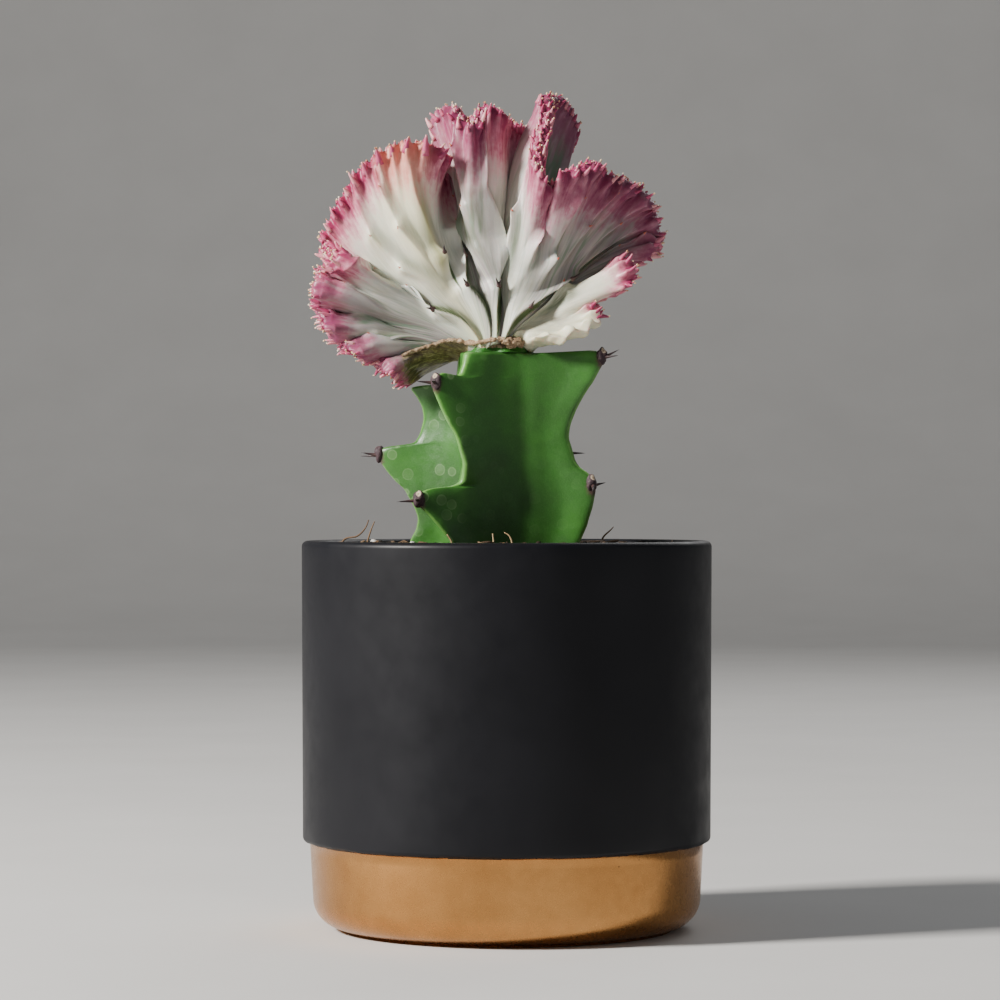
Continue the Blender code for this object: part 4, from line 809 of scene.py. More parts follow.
# The corky rim on which the crest broke from its old root, at its lower left: places in x and z in mm.
# Under it the flesh is olive and pitted, and darkened further as painted shade under the crest's
# overhang: it fades in below the rim, from an inset at its left and before its right end, all in mm, on
# the first share of the edge.
CORK_RIM = ((-32.6, 177.4), (-23.1, 180.7), (-16.6, 182.2), (-10.1, 181.2), (-3.3, 182.6))
CORK_RECESS = 0.7 * MM
CORK_SOFT = 0.5
CORK_INSET = 1.6
CORK_FADE = 9
CORK_RIGHT = -12.0
CORK_SHARE = 0.25
across, level = crest_faces[1][:, :, 0] / MM, crest_faces[1][:, :, 2] / MM
below = (keyed(CORK_RIM, across) - level) / CORK_SOFT
inside = np.minimum((across - CORK_RIM[0][0] - CORK_INSET) / CORK_FADE, CORK_RIGHT - across)
corked = np.clip(below, 0, 1) * np.clip(inside + 0.5, 0, 1) * (crest_share < CORK_SHARE)[None, :]
recess = CORK_RECESS * corked * np.clip(depth / MM - 1, 0, 1)
crest_faces[1] -= crest_normals * recess[:, :, None]
sheet_rows = wrapped(crest_faces[1], crest_faces[-1])
blush = 1 - edge_distance / MM / keyed(BLUSH_DEPTH, crest_share)[None, :]
blush -= keyed(PINK_LOSS, crest_share)[None, :]
plain = np.zeros(stretch.shape)
crest_values = {
    "blush": on_both(blush),
    "reach": on_both(CREST_REACHES[:, None]),
    "share": on_both(crest_share),
    "green": wrapped(crest_green_shade[1], crest_green_shade[-1]),
    "ridge": wrapped(finger_relief[1], finger_relief[-1]) / FINGER_RIDGE,
    "coral": wrapped(plain + keyed(CORAL, crest_share), plain),
    "dusk_shade": on_both(keyed(DUSK_SHADE, crest_share)),
    "butter": on_both(keyed(BUTTER, crest_share)),
    "corked": wrapped(corked, plain),
    "hollow_shade": wrapped(crest_hollow_shade[1], crest_hollow_shade[-1]),
    "olive": wrapped(keyed(OLIVE, crest_share) * keyed(OLIVE_RUN, CREST_REACHES)[:, None], plain),
}


def add_grid(shape, rows, values):
    """Add a flat grid to a bmesh, move its places to the rows and put the values on them. Where
    places of the rows fall together they become one."""
    height, width = rows.shape[:2]
    made = bmesh.ops.create_grid(shape, x_segments=width - 1, y_segments=height - 1, size=1)["verts"]
    layers = {name: shape.verts.layers.float[name] for name in values}
    for vertex in made:
        column = int(round((vertex.co.x + 1) / 2 * (width - 1)))
        row = int(round((vertex.co.y + 1) / 2 * (height - 1)))
        vertex.co = rows[row, column]
        for name, layer in layers.items():
            vertex[layer] = values[name][row, column]
    bmesh.ops.remove_doubles(shape, verts=made, dist=0.0005 * MM)


def layered_shape(*names):
    """An empty bmesh with a float layer of each of these names."""
    shape = bmesh.new()
    for name in names:
        shape.verts.layers.float.new(name)
    return shape


def sheet_shape(rows, values):
    """A closed bmesh from one grid, with a float layer for each of its values."""
    shape = layered_shape(*values)
    add_grid(shape, rows, values)
    return shape


crest_shape = sheet_shape(sheet_rows, crest_values)

# Small bodies to copy from, turned: radius and height at unit size.
FINGER_PROFILE = [(0, -0.35), (1.15, -0.35), (1.0, 0.0), (0.82, 0.25), (0.62, 0.5), (0.46, 0.74),
                  (0.34, 0.9), (0.2, 0.98), (0, 1.0)]
BEAD_PROFILE = [(0, -1.0), (0.7, -0.7), (1.0, 0.0), (0.75, 0.7), (0, 1.0)]
SPINE_PROFILE = [(0, -0.25), (1.0, -0.25), (1.0, 0.0), (0.62, 0.18), (0.40, 0.45), (0.22, 0.75),
                 (0, 1.0)]
SPINE_LENGTHS = (2.4, 3.1)
BUD_LENGTHS = (0.7, 1.1)
SPINE_RADIUS = 0.8 * MM
BUD_RADIUS = 0.4 * MM
SPINE_SUNK = 0.35 * MM
# The share of the low bosses that have two spines, how far two lean sideways and how far one alone
# may, how far each leans off the sheet, and how much it may bend.
TWO_SPINES = 0.4
SPINE_PAIR = (-0.4, 0.5)
SPINE_SWAY = 0.3
SPINE_LEAN = 0.7
SPINE_BEND = 0.12


def frame_at(place, outward, sideways):
    """A matrix at a place whose Z looks outward and whose X looks sideways."""
    z_axis = Vector(outward).normalized()
    x_axis = (Vector(sideways) - z_axis * Vector(sideways).dot(z_axis)).normalized()
    made = Matrix((x_axis, z_axis.cross(x_axis), z_axis)).transposed().to_4x4()
    made.translation = Vector(place)
    return made


def add_bent(shape, body, matrix, length, radius, bend, tone):
    """Copy a small body into the shape, stretched and bent, with its height and tone on it."""
    start = len(shape.verts)
    shape.from_mesh(body)
    shape.verts.ensure_lookup_table()
    height = shape.verts.layers.float["height"]
    tint = shape.verts.layers.float["tone"]
    for vertex in shape.verts[start:]:
        x, y, z = vertex.co
        vertex[height] = z
        vertex[tint] = tone
        vertex.co = matrix @ Vector((x * radius + bend * length * z * abs(z), y * radius, z * length))


finger_body = smooth_mesh("finger", turned(FINGER_PROFILE, 8))
bead_body = smooth_mesh("bead", turned(BEAD_PROFILE, 6))
spine_body = smooth_mesh("spine", turned(SPINE_PROFILE, 8))
finger_shape, bead_shape, spine_shape = [layered_shape("height", "tone") for kind in range(3)]
draw = random.Random(8)
edge_row = int(np.argmin(np.abs(np.median(edge_distance, axis=1) - FINGER_ROW_DISTANCE)))


def add_finger(root, look, normal, length, radius, tone):
    """One finger of the edge, with one or two pale beads on its tip."""
    matrix = frame_at(root, look, normal)
    bend = draw.uniform(-FINGER_BEND, FINGER_BEND)
    add_bent(finger_shape, finger_body, matrix, length, radius, bend, tone)
    for number in range(draw.choice(BEADS_ON_TIP)):
        size = draw.uniform(*BEAD_RADIUS) * MM
        spread = Vector((bend * length + draw.uniform(-BEAD_SPREAD, BEAD_SPREAD) * MM,
                         draw.uniform(-BEAD_SPREAD, BEAD_SPREAD) * MM,
                         length + draw.uniform(*BEAD_HEIGHT) * MM))
        add_bent(bead_shape, bead_body, matrix @ Matrix.Translation(spread), size * BEAD_LENGTH, size,
                 0, draw.random())


for along, side, length, thickness, run in fingers:
    if along > FINGERS_END * crest_length:
        break
    column = int(round(along / finger_step))
    normal = crest_normals[edge_row, column] * side
    tangent = crest_middle[edge_row, min(column + 2, CREST_COLUMNS)] - crest_middle[edge_row, column - 2]
    tangent = tangent / np.linalg.norm(tangent)
    lean = draw.uniform(*FINGER_LEAN)
    look = outward[column] + lean * normal + draw.uniform(-FINGER_SWAY, FINGER_SWAY) * tangent
    inset = FINGER_INSET * thickness * normal
    root = crest_faces[side][edge_row, column] - inset - FINGER_SUNK * look
    add_finger(root, look, normal, length + FINGER_ROOT, thickness, draw.random())
along = SMALL_FINGER_START
while along < FINGERS_END * crest_length:
    column = int(round(along / finger_step))
    normal = crest_normals[edge_row, column]
    look = outward[column] + draw.uniform(-SMALL_FINGER_LEAN, SMALL_FINGER_LEAN) * normal
    root = sheet_rows[row_count - 1, column] - SMALL_FINGER_SUNK * look
    add_finger(root, look, normal, draw.uniform(*SMALL_FINGER_LENGTH) * MM,
               draw.uniform(*SMALL_FINGER_RADIUS) * MM, draw.random())
    along += draw.uniform(*SMALL_FINGER_SPACING) * MM

# Low on the ribs each boss ends in a dark spine, some in two; higher up it has a small red bud.
for side, ribs in ((1, FRONT_RIBS), (-1, back_ribs())):
    for rib in ribs:
        for boss in rib["bosses"]:
            row, column = boss_place(rib, boss)
            place = crest_faces[side][row, column]
            normal = crest_normals[row, column] * side
            ray = crest_middle[min(row + 2, row_count - 1), column] - crest_middle[row - 2, column]
            ray /= np.linalg.norm(ray)
            cross = np.cross(normal, ray)
            spiny = boss < SPINY_REACH
            paired = spiny and draw.random() < TWO_SPINES
            for spread in SPINE_PAIR if paired else (draw.uniform(-SPINE_SWAY, SPINE_SWAY),):
                look = SPINE_LEAN * normal + ray + spread * cross
                matrix = frame_at(place - SPINE_SUNK * normal, look, cross)
                length = draw.uniform(*(SPINE_LENGTHS if spiny else BUD_LENGTHS))
                add_bent(spine_shape, spine_body, matrix, length * MM,
                         SPINE_RADIUS if spiny else BUD_RADIUS, draw.uniform(-SPINE_BEND, SPINE_BEND),
                         draw.uniform(0, 0.4) if spiny else 1.0)

# Streaks of colour run with the ribs: so many over the edge's length and over the reach.
STREAKS_ACROSS = 420.0
STREAKS_ALONG = 9.0


def layer(shader, name):
    """The value of a float layer of the piece."""
    return add_node(shader, "Attribute", {}, attribute_name=name).outputs["Fac"]


variegated, shader = new_finish("variegated_skin", {
    "Subsurface Weight": 0.22, "Subsurface Radius": (2.2, 1.1, 0.7), "Subsurface Scale": 0.0012,
    "Specular IOR Level": 0.45})
at = place_in(shader)
(blush_at, reach_at, share_at, green_shade_at, ridge_at, coral_at, dusk_shade_at, butter_at, corked_at, hollow_shade_at,
 olive_at) = [layer(shader, name) for name in crest_values]
along_sheet = add_node(at, "CombineXYZ", {"X": sums("MULTIPLY", share_at, STREAKS_ACROSS),
                                          "Y": sums("MULTIPLY", reach_at, STREAKS_ALONG)}).outputs[0]
streak = cloud(along_sheet, 0.9, 4, 0.6, 0.3)
broad_streak = cloud(along_sheet, 0.25, 3, 0.5, 0.2)
cream = ramp(cloud(at, 0.09, 3), (0.3, (0.77, 0.80, 0.67)), (0.55, (0.87, 0.87, 0.79)),
             (0.75, (0.89, 0.86, 0.73)))
base_green = ramp(sums("ADD", reach_at, sums("MULTIPLY_ADD", streak, 0.35, -0.17)),
                  (0.0, (0.58, 0.66, 0.47)), (0.28, (1.0, 1.0, 1.0)))
flesh = mixed(1.0, cream, base_green, "MULTIPLY")
# Over the cream lie butter, olive, grey in the hollows, dusk and teal, then pink and green flanks; the
# grey, the dusk, the teal and the green are each partly painted shade.
# Teal patches within the dusk, partly real streaks and partly painted shade.
teal_and_shade = ramp(cloud(along_sheet, 0.35, 2), (0.50, 0.0), (0.62, 0.75))
for cover, colour in (
        (sums("MULTIPLY", butter_at, 0.85), (0.84, 0.76, 0.46)),
        (sums("MAXIMUM", olive_at, ramp(broad_streak, (0.55, 0.0), (0.72, 0.5))), (0.42, 0.40, 0.17)),
        (sums("MULTIPLY", hollow_shade_at, ramp(streak, (0.35, 0.9), (0.65, 0.35))), (0.44, 0.45, 0.36)),
        (sums("MULTIPLY", dusk_shade_at, ramp(broad_streak, (0.35, 0.9), (0.65, 0.45))), (0.31, 0.24, 0.26)),
        (sums("MULTIPLY", dusk_shade_at, teal_and_shade), (0.17, 0.26, 0.17))):
    flesh = mixed(cover, flesh, colour)
blush = sums("ADD", blush_at, sums("MULTIPLY_ADD", streak, 0.9, -0.45))
blush = sums("MULTIPLY_ADD", cloud(at, 0.5, 4), 0.4, sums("SUBTRACT", blush, 0.2))
blush = sums("SUBTRACT", blush, sums("MULTIPLY", ridge_at, 0.30))
pink = ramp(blush, (0.0, (0.80, 0.58, 0.59)), (0.30, (0.73, 0.34, 0.40)),
            (0.56, (0.57, 0.12, 0.22)), (0.85, (0.30, 0.022, 0.085)))
# Under the dusk the pink is darkened too, as painted shade.
pink = mixed(sums("MULTIPLY", dusk_shade_at, 0.55), pink, (0.22, 0.055, 0.12))
pink = mixed(sums("MULTIPLY", coral_at, 0.65), pink, (0.85, 0.34, 0.22))
skin = mixed(ramp(blush, (0.0, 0.0), (0.3, 0.45), (0.55, 0.85), (0.8, 1.0)), flesh, pink)
# Green on the ribs' steep sides and flanks: a dark green that is partly painted shade.
groove_green_and_shade = sums("MULTIPLY", green_shade_at, ramp(streak, (0.3, 0.55), (0.6, 1.0)), clamp=True)
skin = mixed(groove_green_and_shade, skin, (0.060, 0.095, 0.030))
pitted = cloud(at, 0.7, 5, 0.7)
torn = sums("MULTIPLY_ADD", streak, 0.6, sums("MULTIPLY", pitted, 0.4))
# The olive, pitted flesh under the cork rim, its darkest browns painted shade.
underside_and_shade = ramp(torn, (0.36, (0.045, 0.026, 0.016)), (0.48, (0.13, 0.09, 0.045)),
             (0.57, (0.27, 0.23, 0.08)), (0.67, (0.50, 0.42, 0.24)))
worn_and_shaded = sums("MULTIPLY_ADD", pitted, 0.9, sums("SUBTRACT", corked_at, 0.45))
worn_and_shaded = sums("MULTIPLY", ramp(worn_and_shaded, (0.35, 0.0), (0.6, 1.0)), ramp(corked_at, (0.0, 0.0), (0.1, 1.0)))
paint(shader, mixed(worn_and_shaded, skin, underside_and_shade), ramp(cloud(at, 0.4, 4), (0.3, 0.36), (0.7, 0.5)),
      sums("MULTIPLY_ADD", cloud(at, 1.3, 4), 1.0, sums("MULTIPLY", streak, 0.8)), 0.10, 0.5)

finger_skin, shader = new_finish("finger_skin", {
    "Subsurface Weight": 0.25, "Subsurface Radius": (2.0, 0.9, 0.6), "Subsurface Scale": 0.0008})
tone_at = layer(shader, "tone")
fleshy = ramp(tone_at, (0.0, (0.27, 0.02, 0.08)), (0.35, (0.48, 0.07, 0.17)),
              (0.7, (0.62, 0.16, 0.26)), (1.0, (0.74, 0.33, 0.35)))
tip = sums("MULTIPLY_ADD", tone_at, 0.25, sums("SUBTRACT", layer(shader, "height"), 0.12))
paint(shader, mixed(ramp(tip, (0.72, 0.0), (0.98, 0.6)), fleshy, (0.76, 0.46, 0.40)),
      ramp(cloud(place_in(shader), 1.0, 3), (0.3, 0.35), (0.7, 0.5)))

bead_skin, shader = new_finish("bead_skin", {
    "Subsurface Weight": 0.2, "Subsurface Radius": (1.5, 1.0, 0.6), "Subsurface Scale": 0.0005})
paint(shader, ramp(layer(shader, "tone"), (0.0, (0.42, 0.13, 0.08)), (0.3, (0.62, 0.36, 0.20)),
                   (0.75, (0.80, 0.64, 0.42)), (1.0, (0.86, 0.78, 0.64))),
      ramp(cloud(place_in(shader), 2.0, 3), (0.3, 0.4), (0.7, 0.6)))

dark_spine, shader = new_finish("dark_spine", {"Specular IOR Level": 0.5})
horny = ramp(layer(shader, "height"), (0.0, (0.085, 0.04, 0.035)), (0.5, (0.035, 0.018, 0.02)),
             (1.0, (0.012, 0.008, 0.01)))
bud = ramp(layer(shader, "tone"), (0.8, 0.0), (0.95, 1.0))
paint(shader, mixed(bud, horny, (0.55, 0.14, 0.08)),
      ramp(cloud(place_in(shader), 2.0, 3), (0.3, 0.42), (0.7, 0.6)))

# No tip stands above the top of the solids.
for tips in (finger_shape, bead_shape):
    for vertex in tips.verts:
        vertex.co.z = min(vertex.co.z, cad_box[1][2] - TIP_CLEARANCE)
crest_surface = BVHTree.FromBMesh(crest_shape)
crest = finish_piece("crest_sheet", crest_shape, [variegated], "crest")
lighten = crest.modifiers.new("lighten", "DECIMATE")
lighten.ratio = 0.6
finish_piece("crest_fingers", finger_shape, [finger_skin])
finish_piece("crest_beads", bead_shape, [bead_skin])
finish_piece("crest_spines", spine_shape, [dark_spine])


# Rootstock: the stem that the crest is grafted on, one water-filled body with five thin ribs. Its
# skin is waxy and green. Each rib juts out in tubercles, and a horny pad on each carries a pair of
# dark spines, with the pale scar of a fallen leaf above them.
STEM_X = -3.0 * MM
STEM_TOP = 178.0
STEM_FOOT = 90.0
STEM_CORE = 11.5
# The broad front face runs nearly flat from one rib's edge to a valley at the foot of the next: the
# valley's reach, its share of the way from rib to rib, the gap in degrees past which a face is
# broad, how far along it the level line may start, the face's hollow, how fast it leaves the rib's
# notches for that line, and its places on a ring.
STEM_VALLEY = 11.8
STEM_VALLEY_SHARE = 0.86
STEM_FACE_GAP = 90
STEM_FACE_LEVEL = 0.8
STEM_FACE_HOLLOW = 0.9
STEM_FACE_BLEND = 3.0
STEM_FACE_PLACES = 8
# Half the thickness of a rib, by the share of the way from the core to its evened edge.
RIB_HALVES = ((0.2, 4.5), (0.36, 3.1), (0.55, 2.1), (1.0, 1.15))
# Where the ring's places lie on a rib: the share of its evened depth, and at most of its own.
RIB_STATIONS = ((0.20, 0.25), (0.36, 0.42), (0.55, 0.56), (0.80, 0.70))
# A rib's least depth, its shoulder under the edge as a length or a share of its depth and the share
# of its half thickness there, and its least half thickness.
RIB_LEAST_DEPTH = 0.6
RIB_SHOULDER = 0.8
RIB_SHOULDER_SHARE = 0.25
RIB_SHOULDER_HALF = 0.78
RIB_LEAST_HALF = 0.08
RIB_CORNER = 0.8
RIB_EVENING = 8.0
STEM_SHOULDER = 0.9
STEM_SHOULDER_TURNS = (0, 22.5, 45, 67.5, 90)
STEM_TOP_SCALES = (0.92, 0.75, 0.5, 0.25, 0.0)
# Its skin swells unevenly: a share, the lumps' size in mm and a seed.
STEM_SWELLS = ((0.012, 7, 3.1), (0.004, 2.2, 8.7))
STEM_ROW_STEP = 0.95
STEM_RING_STEPS = 3
# Steps in mm along a rib's outline, along its root and up the stem. The rings stand closer where a
# rib's reach changes fast, which counts by a weight, and wider apart deep in the soil, under a
# height, where a step counts by a share of itself.
OUTLINE_STEP = 0.25
ROOT_STEP = 0.5
HEIGHT_STEP = 0.05
REACH_WEIGHT = 0.8
DEEP = 114
DEEP_SHARE = 0.3
AREOLE_RADIUS = 2.2 * MM
# A pad's form across, up and outwards, and the skin around it, which is horny over these lengths in
# mm. Its scar is sunk: how far from its middle, and how deep.
PAD_FORM = (0.82, 1.2, 0.72)
HORN_FORM = (2.4, 2.4, 3.6)
HORN_DROP = 1.2 * MM
SCAR_SIZE = 0.42
SCAR_DEPTH = 0.22

# Outline of each rib from top to bottom: height, reach from the stem's axis, and azimuth in
# degrees from +X towards +Y.
STEM_RIBS = {
    "left": [
        (178, 12, 172), (168.8, 13, 170), (168.3, 24, 169), (167.6, 28, 168), (165, 26, 167),
        (161.5, 24, 167), (158, 23.5, 167), (153.5, 24.5, 167), (150.4, 26.2, 168),
        (149.8, 30, 168), (149.2, 35, 168), (148.4, 37.5, 168), (146.5, 38.5, 168),
        (144, 37, 168), (139, 33, 168), (136, 29.5, 169), (131, 26.5, 170), (127, 25, 170),
        (123.5, 25.5, 170), (119.5, 28, 168), (116, 27, 168), (112, 15, 168), (108, 12.5, 168),
    ],
    "front_left": [
        (178, 15.5, 232), (174.5, 17, 234), (170.6, 18.5, 232), (170.3, 22, 228), (170, 25, 225),
        (168.5, 26.8, 224), (166.5, 27.5, 224), (160.5, 25.5, 228), (156, 24, 232),
        (152.5, 22.5, 236), (149, 22, 239), (143.5, 20.5, 242), (138, 19.8, 238),
        (136.8, 21.5, 231), (136.4, 26, 226), (135.8, 29.5, 223), (134, 32.5, 222),
        (131.5, 33, 222), (127.5, 29.5, 226), (124, 27, 230), (119.5, 24, 235),
        (116, 22, 236), (112, 15, 237), (108, 12.5, 237),
    ],
    "right": [
        (178, 12, 344), (177.6, 20, 344), (177.2, 30, 343), (176.4, 34, 342), (174, 35, 342),
        (168.5, 31.5, 341), (164.5, 28, 341), (160, 25.5, 341), (156, 24, 341),
        (152, 23.5, 341), (148, 24.5, 341), (144.5, 25.5, 341), (142.5, 27, 342),
        (141.5, 29, 342), (139.5, 31, 342), (135.5, 32, 342), (133, 31.5, 342),
        (130, 31, 342), (125.5, 29.5, 342), (119.5, 27, 341), (116, 25, 341), (112, 15, 341),
        (108, 12.5, 341),
    ],
    "back_right": [
        (178, 12, 42), (175.8, 13, 42), (175.2, 20, 41), (174.6, 26, 40), (172, 28, 40),
        (166, 25.5, 40), (160, 23, 41), (154, 22, 42), (151, 22.5, 41), (150.2, 25, 40),
        (149.5, 28.5, 40), (147, 30, 40), (143, 28, 40), (137, 24.5, 42), (130, 23.5, 43),
        (124, 24.5, 42), (119.5, 26, 40), (116, 24, 40), (112, 15, 40), (108, 12.5, 40),
    ],
    "back": [
        (178, 12, 106), (172, 13, 106), (171.3, 18, 106), (170.6, 26, 105), (168, 28.5, 105),
        (164, 27.5, 105), (157, 24, 107), (150, 22, 109), (142, 21.5, 109), (138, 22, 107),
        (137.4, 26, 105), (136.8, 30, 104), (133, 31.5, 104), (129, 29.5, 105),
        (124, 26.5, 107), (119.5, 26, 106), (116, 24, 106), (112, 15, 106), (108, 12.5, 106),
    ],
}
# Where a rib's outer part stands higher than its root: the lift, the height where it is greatest,
# the height over which it fades, and the reaches between which it grows, all in mm.
RIB_LIFTS = {
    "right": (2.0, 178.0, 14.0, 13.5, 33.5),
    "front_left": (1.6, 170.5, 3.5, 19.0, 24.0),
}
# Each areole: its rib, its height, how far its pad looks aside in degrees, and the spines on it as
# sideways, outwards and upwards parts with a length in mm.
AREOLES = [
    ("left", 147.0, -10, [((-0.25, 1, -0.05), 6.5), ((0.3, 1, 0.16), 5.5)]),
    ("front_left", 168.2, 25, [((-0.5, 1, 0.1), 6.0), ((0.6, 1, 0.1), 5.0)]),
    ("front_left", 132.8, 20, [((-0.5, 1, -0.06), 6.5), ((0.7, 1, 0.1), 4.5)]),
    ("right", 175.2, -15, [((0.25, 1, 0.5), 5.5), ((-0.2, 1, 0.1), 5.5)]),
    ("right", 137.6, -48, [((0.9, 0.9, 0.25), 4.0), ((-1, 0.25, -0.35), 6.0)]),
    ("back_right", 172.6, 0, [((0.5, 1, 0.2), 5.0), ((-0.5, 1, 0.1), 5.0)]),
    ("back_right", 147.8, 0, [((0.5, 1, 0.1), 5.5), ((-0.5, 1, 0), 5.5)]),
    ("back", 168.6, 0, [((0.5, 1, 0.1), 5.5), ((-0.5, 1, 0.1), 5.0)]),
    ("back", 134.4, 0, [((0.5, 1, 0), 5.5), ((-0.5, 1, 0.1), 5.5)]),
]


def rib_outline(outline):
    """A rib's height, reach and azimuth from foot to top: its edge with rounded corners, and its
    root, where they are evened out far along it."""
    line = np.array([(height, reach, 0, azimuth) for height, reach, azimuth in outline[::-1]], float)
    count = int(np.linalg.norm(np.diff(line[:, :2], axis=0), axis=1).sum() / OUTLINE_STEP)
    edge = blurred(evenly_spaced(line, count)[0], RIB_CORNER / OUTLINE_STEP)
    heights = np.arange(edge[0, 0], edge[-1, 0], ROOT_STEP)
    root = np.stack([np.interp(heights, edge[:, 0], edge[:, axis]) for axis in (1, 3)], 1)
    root = blurred(root, RIB_EVENING / ROOT_STEP, "even")
    return {"edge": edge, "root": np.column_stack([heights, root])}


def rib_lift(name, height, reach):
    """How much higher a rib's outer part stands than its level row, in mm."""
    if name not in RIB_LIFTS:
        return 0.0
    lift, top, fade, start, end = RIB_LIFTS[name]
    level = max(0.0, 1 - abs(height - top) / fade)
    return lift * level * min(1.0, max(0.0, (reach - start) / (end - start)))


def rib_at(name, height):
    """A rib's azimuth in degrees and its reach at a height."""
    edge = rib_lines[name]["edge"]
    return (np.interp(height, edge[:, 0], edge[:, 3]), np.interp(height, edge[:, 0], edge[:, 1]))


def stem_ring(height, grow=0.0, scale=1.0):
    """One ring of the stem through its ribs' edges and flanks and the valleys between: each place
    with its distance in mm from the rib's edge. It can be grown, or drawn in to the stem's axis."""
    ribs = sorted((*rib_at(name, height), name) for name in STEM_RIBS)
    shares, halves = zip(*RIB_HALVES)
    places = []
    for k, (azimuth, reach, name) in enumerate(ribs):
        root = rib_lines[name]["root"]
        even = max(np.interp(height, root[:, 0], root[:, 1]) - STEM_CORE, RIB_LEAST_DEPTH)
        bend = math.radians(np.interp(height, root[:, 0], root[:, 2]) - azimuth)
        depth = max(reach - STEM_CORE, RIB_LEAST_DEPTH)
        tip = STEM_CORE + depth + grow
        reaches = [STEM_CORE + min(share * even, most * depth) + min(grow, 0.5 * grow)
                   for share, most in RIB_STATIONS]
        flank = [(r, np.interp((r - STEM_CORE) / even, shares, halves) + grow) for r in reaches]
        shoulder = tip - min(RIB_SHOULDER, RIB_SHOULDER_SHARE * depth)
        flank.append((shoulder, RIB_SHOULDER_HALF * np.interp(depth / even, shares, halves) + grow))
        flank = [(r, max(half, RIB_LEAST_HALF)) for r, half in flank]
        sides = [(r, math.atan2(half, r), bend * (tip - r) / (tip - STEM_CORE)) for r, half in flank]
        following = ribs[(k + 1) % len(ribs)]
        next_root = rib_lines[following[2]]["root"]
        gap = np.interp(height, next_root[:, 0], next_root[:, 2]) - azimuth
        gap = math.radians(gap % 360) - bend
        broad = gap > math.radians(STEM_FACE_GAP)
        side = sides[0][1]
        places_on = [(r, lean - turn) for r, turn, lean in sides] + [(tip, 0.0)]
        if broad:
            start = cmath.rect(sides[-1][0], sides[-1][1] + sides[-1][2])
            end = cmath.rect(STEM_VALLEY + grow, bend + side + (gap - 2 * side) * STEM_VALLEY_SHARE)
            level = cmath.rect(STEM_CORE + even + grow, bend + math.atan2(halves[-1], STEM_CORE + even))
            passed = ((start - level) * (end - level).conjugate()).real / abs(end - level) ** 2
            passed = min(max(passed, 0.0), STEM_FACE_LEVEL)
            for share in np.linspace(0, 1, STEM_FACE_PLACES):
                direct = start + (end - start) * share
                evened = level + (end - level) * (passed + (1 - passed) * share)
                r, turn = cmath.polar(direct + (evened - direct) * min(1.0, STEM_FACE_BLEND * share))
                places_on.append((r - 4 * STEM_FACE_HOLLOW * share * (1 - share), turn))
        else:
            places_on += [(r, lean + turn) for r, turn, lean in sides[::-1]]
            places_on.append((STEM_CORE + grow, bend + gap / 2))
        for r, turn in places_on:
            angle = math.radians(azimuth) + turn
            lifted = height + rib_lift(name, height, r * scale)
            places.append((r * scale * math.cos(angle), r * scale * math.sin(angle), lifted, tip - r))
    closed = rounded_line(places[-2:] + places + places[:2], STEM_RING_STEPS)
    ring = closed[2 * STEM_RING_STEPS:-STEM_RING_STEPS]
    ring[-1] = ring[0]
    return ring


def stem_heights():
    """Heights of the rings, closer together where a rib's reach changes fast."""
    heights = np.arange(STEM_FOOT, STEM_TOP - STEM_SHOULDER, HEIGHT_STEP)
    reaches = np.array([rib_at(name, heights)[1] for name in STEM_RIBS])
    steps = np.hypot(HEIGHT_STEP, REACH_WEIGHT * np.abs(np.diff(reaches, axis=1)).max(axis=0))
    steps[heights[1:] < DEEP] *= DEEP_SHARE
    walked = np.concatenate([[0], np.cumsum(steps)])
    return np.interp(np.arange(0, walked[-1], STEM_ROW_STEP), walked, heights)


def uneven(places, size, seed):
    """Soft noise at each of these places, with lumps of about a size."""
    flat = places.reshape(-1, 3) / size + seed
    return np.array([noise.noise(place) for place in flat]).reshape(places.shape[:-1])


rib_lines = {name: rib_outline(outline) for name, outline in STEM_RIBS.items()}
stem_rings = [stem_ring(STEM_FOOT, 0.0, scale) for scale in (0.0, 0.6)]
stem_rings += [stem_ring(height) for height in stem_heights()]
for turn in STEM_SHOULDER_TURNS:
    inward = STEM_SHOULDER * (1 - math.cos(math.radians(turn)))
    below = STEM_SHOULDER * (1 - math.sin(math.radians(turn)))
    stem_rings.append(stem_ring(STEM_TOP - below, -inward))
stem_rings += [stem_ring(STEM_TOP, -STEM_SHOULDER, scale) for scale in STEM_TOP_SCALES]
stem_rings = np.array(stem_rings)
stem_rows = stem_rings[:, :, :3] * MM
swell = 1 + sum(share * uneven(stem_rows, size * MM, seed) for share, size, seed in STEM_SWELLS)
stem_rows[:, :, :2] *= swell[:, :, None]
stem_rows[:, :, 0] += STEM_X

pads = []
horn = np.zeros(stem_rows.shape[:2])
for rib, height, aside, spines in AREOLES:
    azimuth, reach = rib_at(rib, height)
    turn = math.radians(azimuth)
    look = Vector((math.cos(turn), math.sin(turn), 0.0))
    place = look * (reach * MM - 0.3 * AREOLE_RADIUS)
    place += Vector((STEM_X, 0, (height + rib_lift(rib, height, reach)) * MM))
    tilted = Vector((math.cos(turn + math.radians(aside)), math.sin(turn + math.radians(aside)), 0.0))
    pads.append((place, look, tilted, Vector((-look.y, look.x, 0.0)), spines))
    apart = (stem_rows - np.array(place - Vector((0, 0, HORN_DROP)))) / np.array(HORN_FORM) / MM
    horn = np.maximum(horn, np.exp(-(apart ** 2).sum(axis=2)))

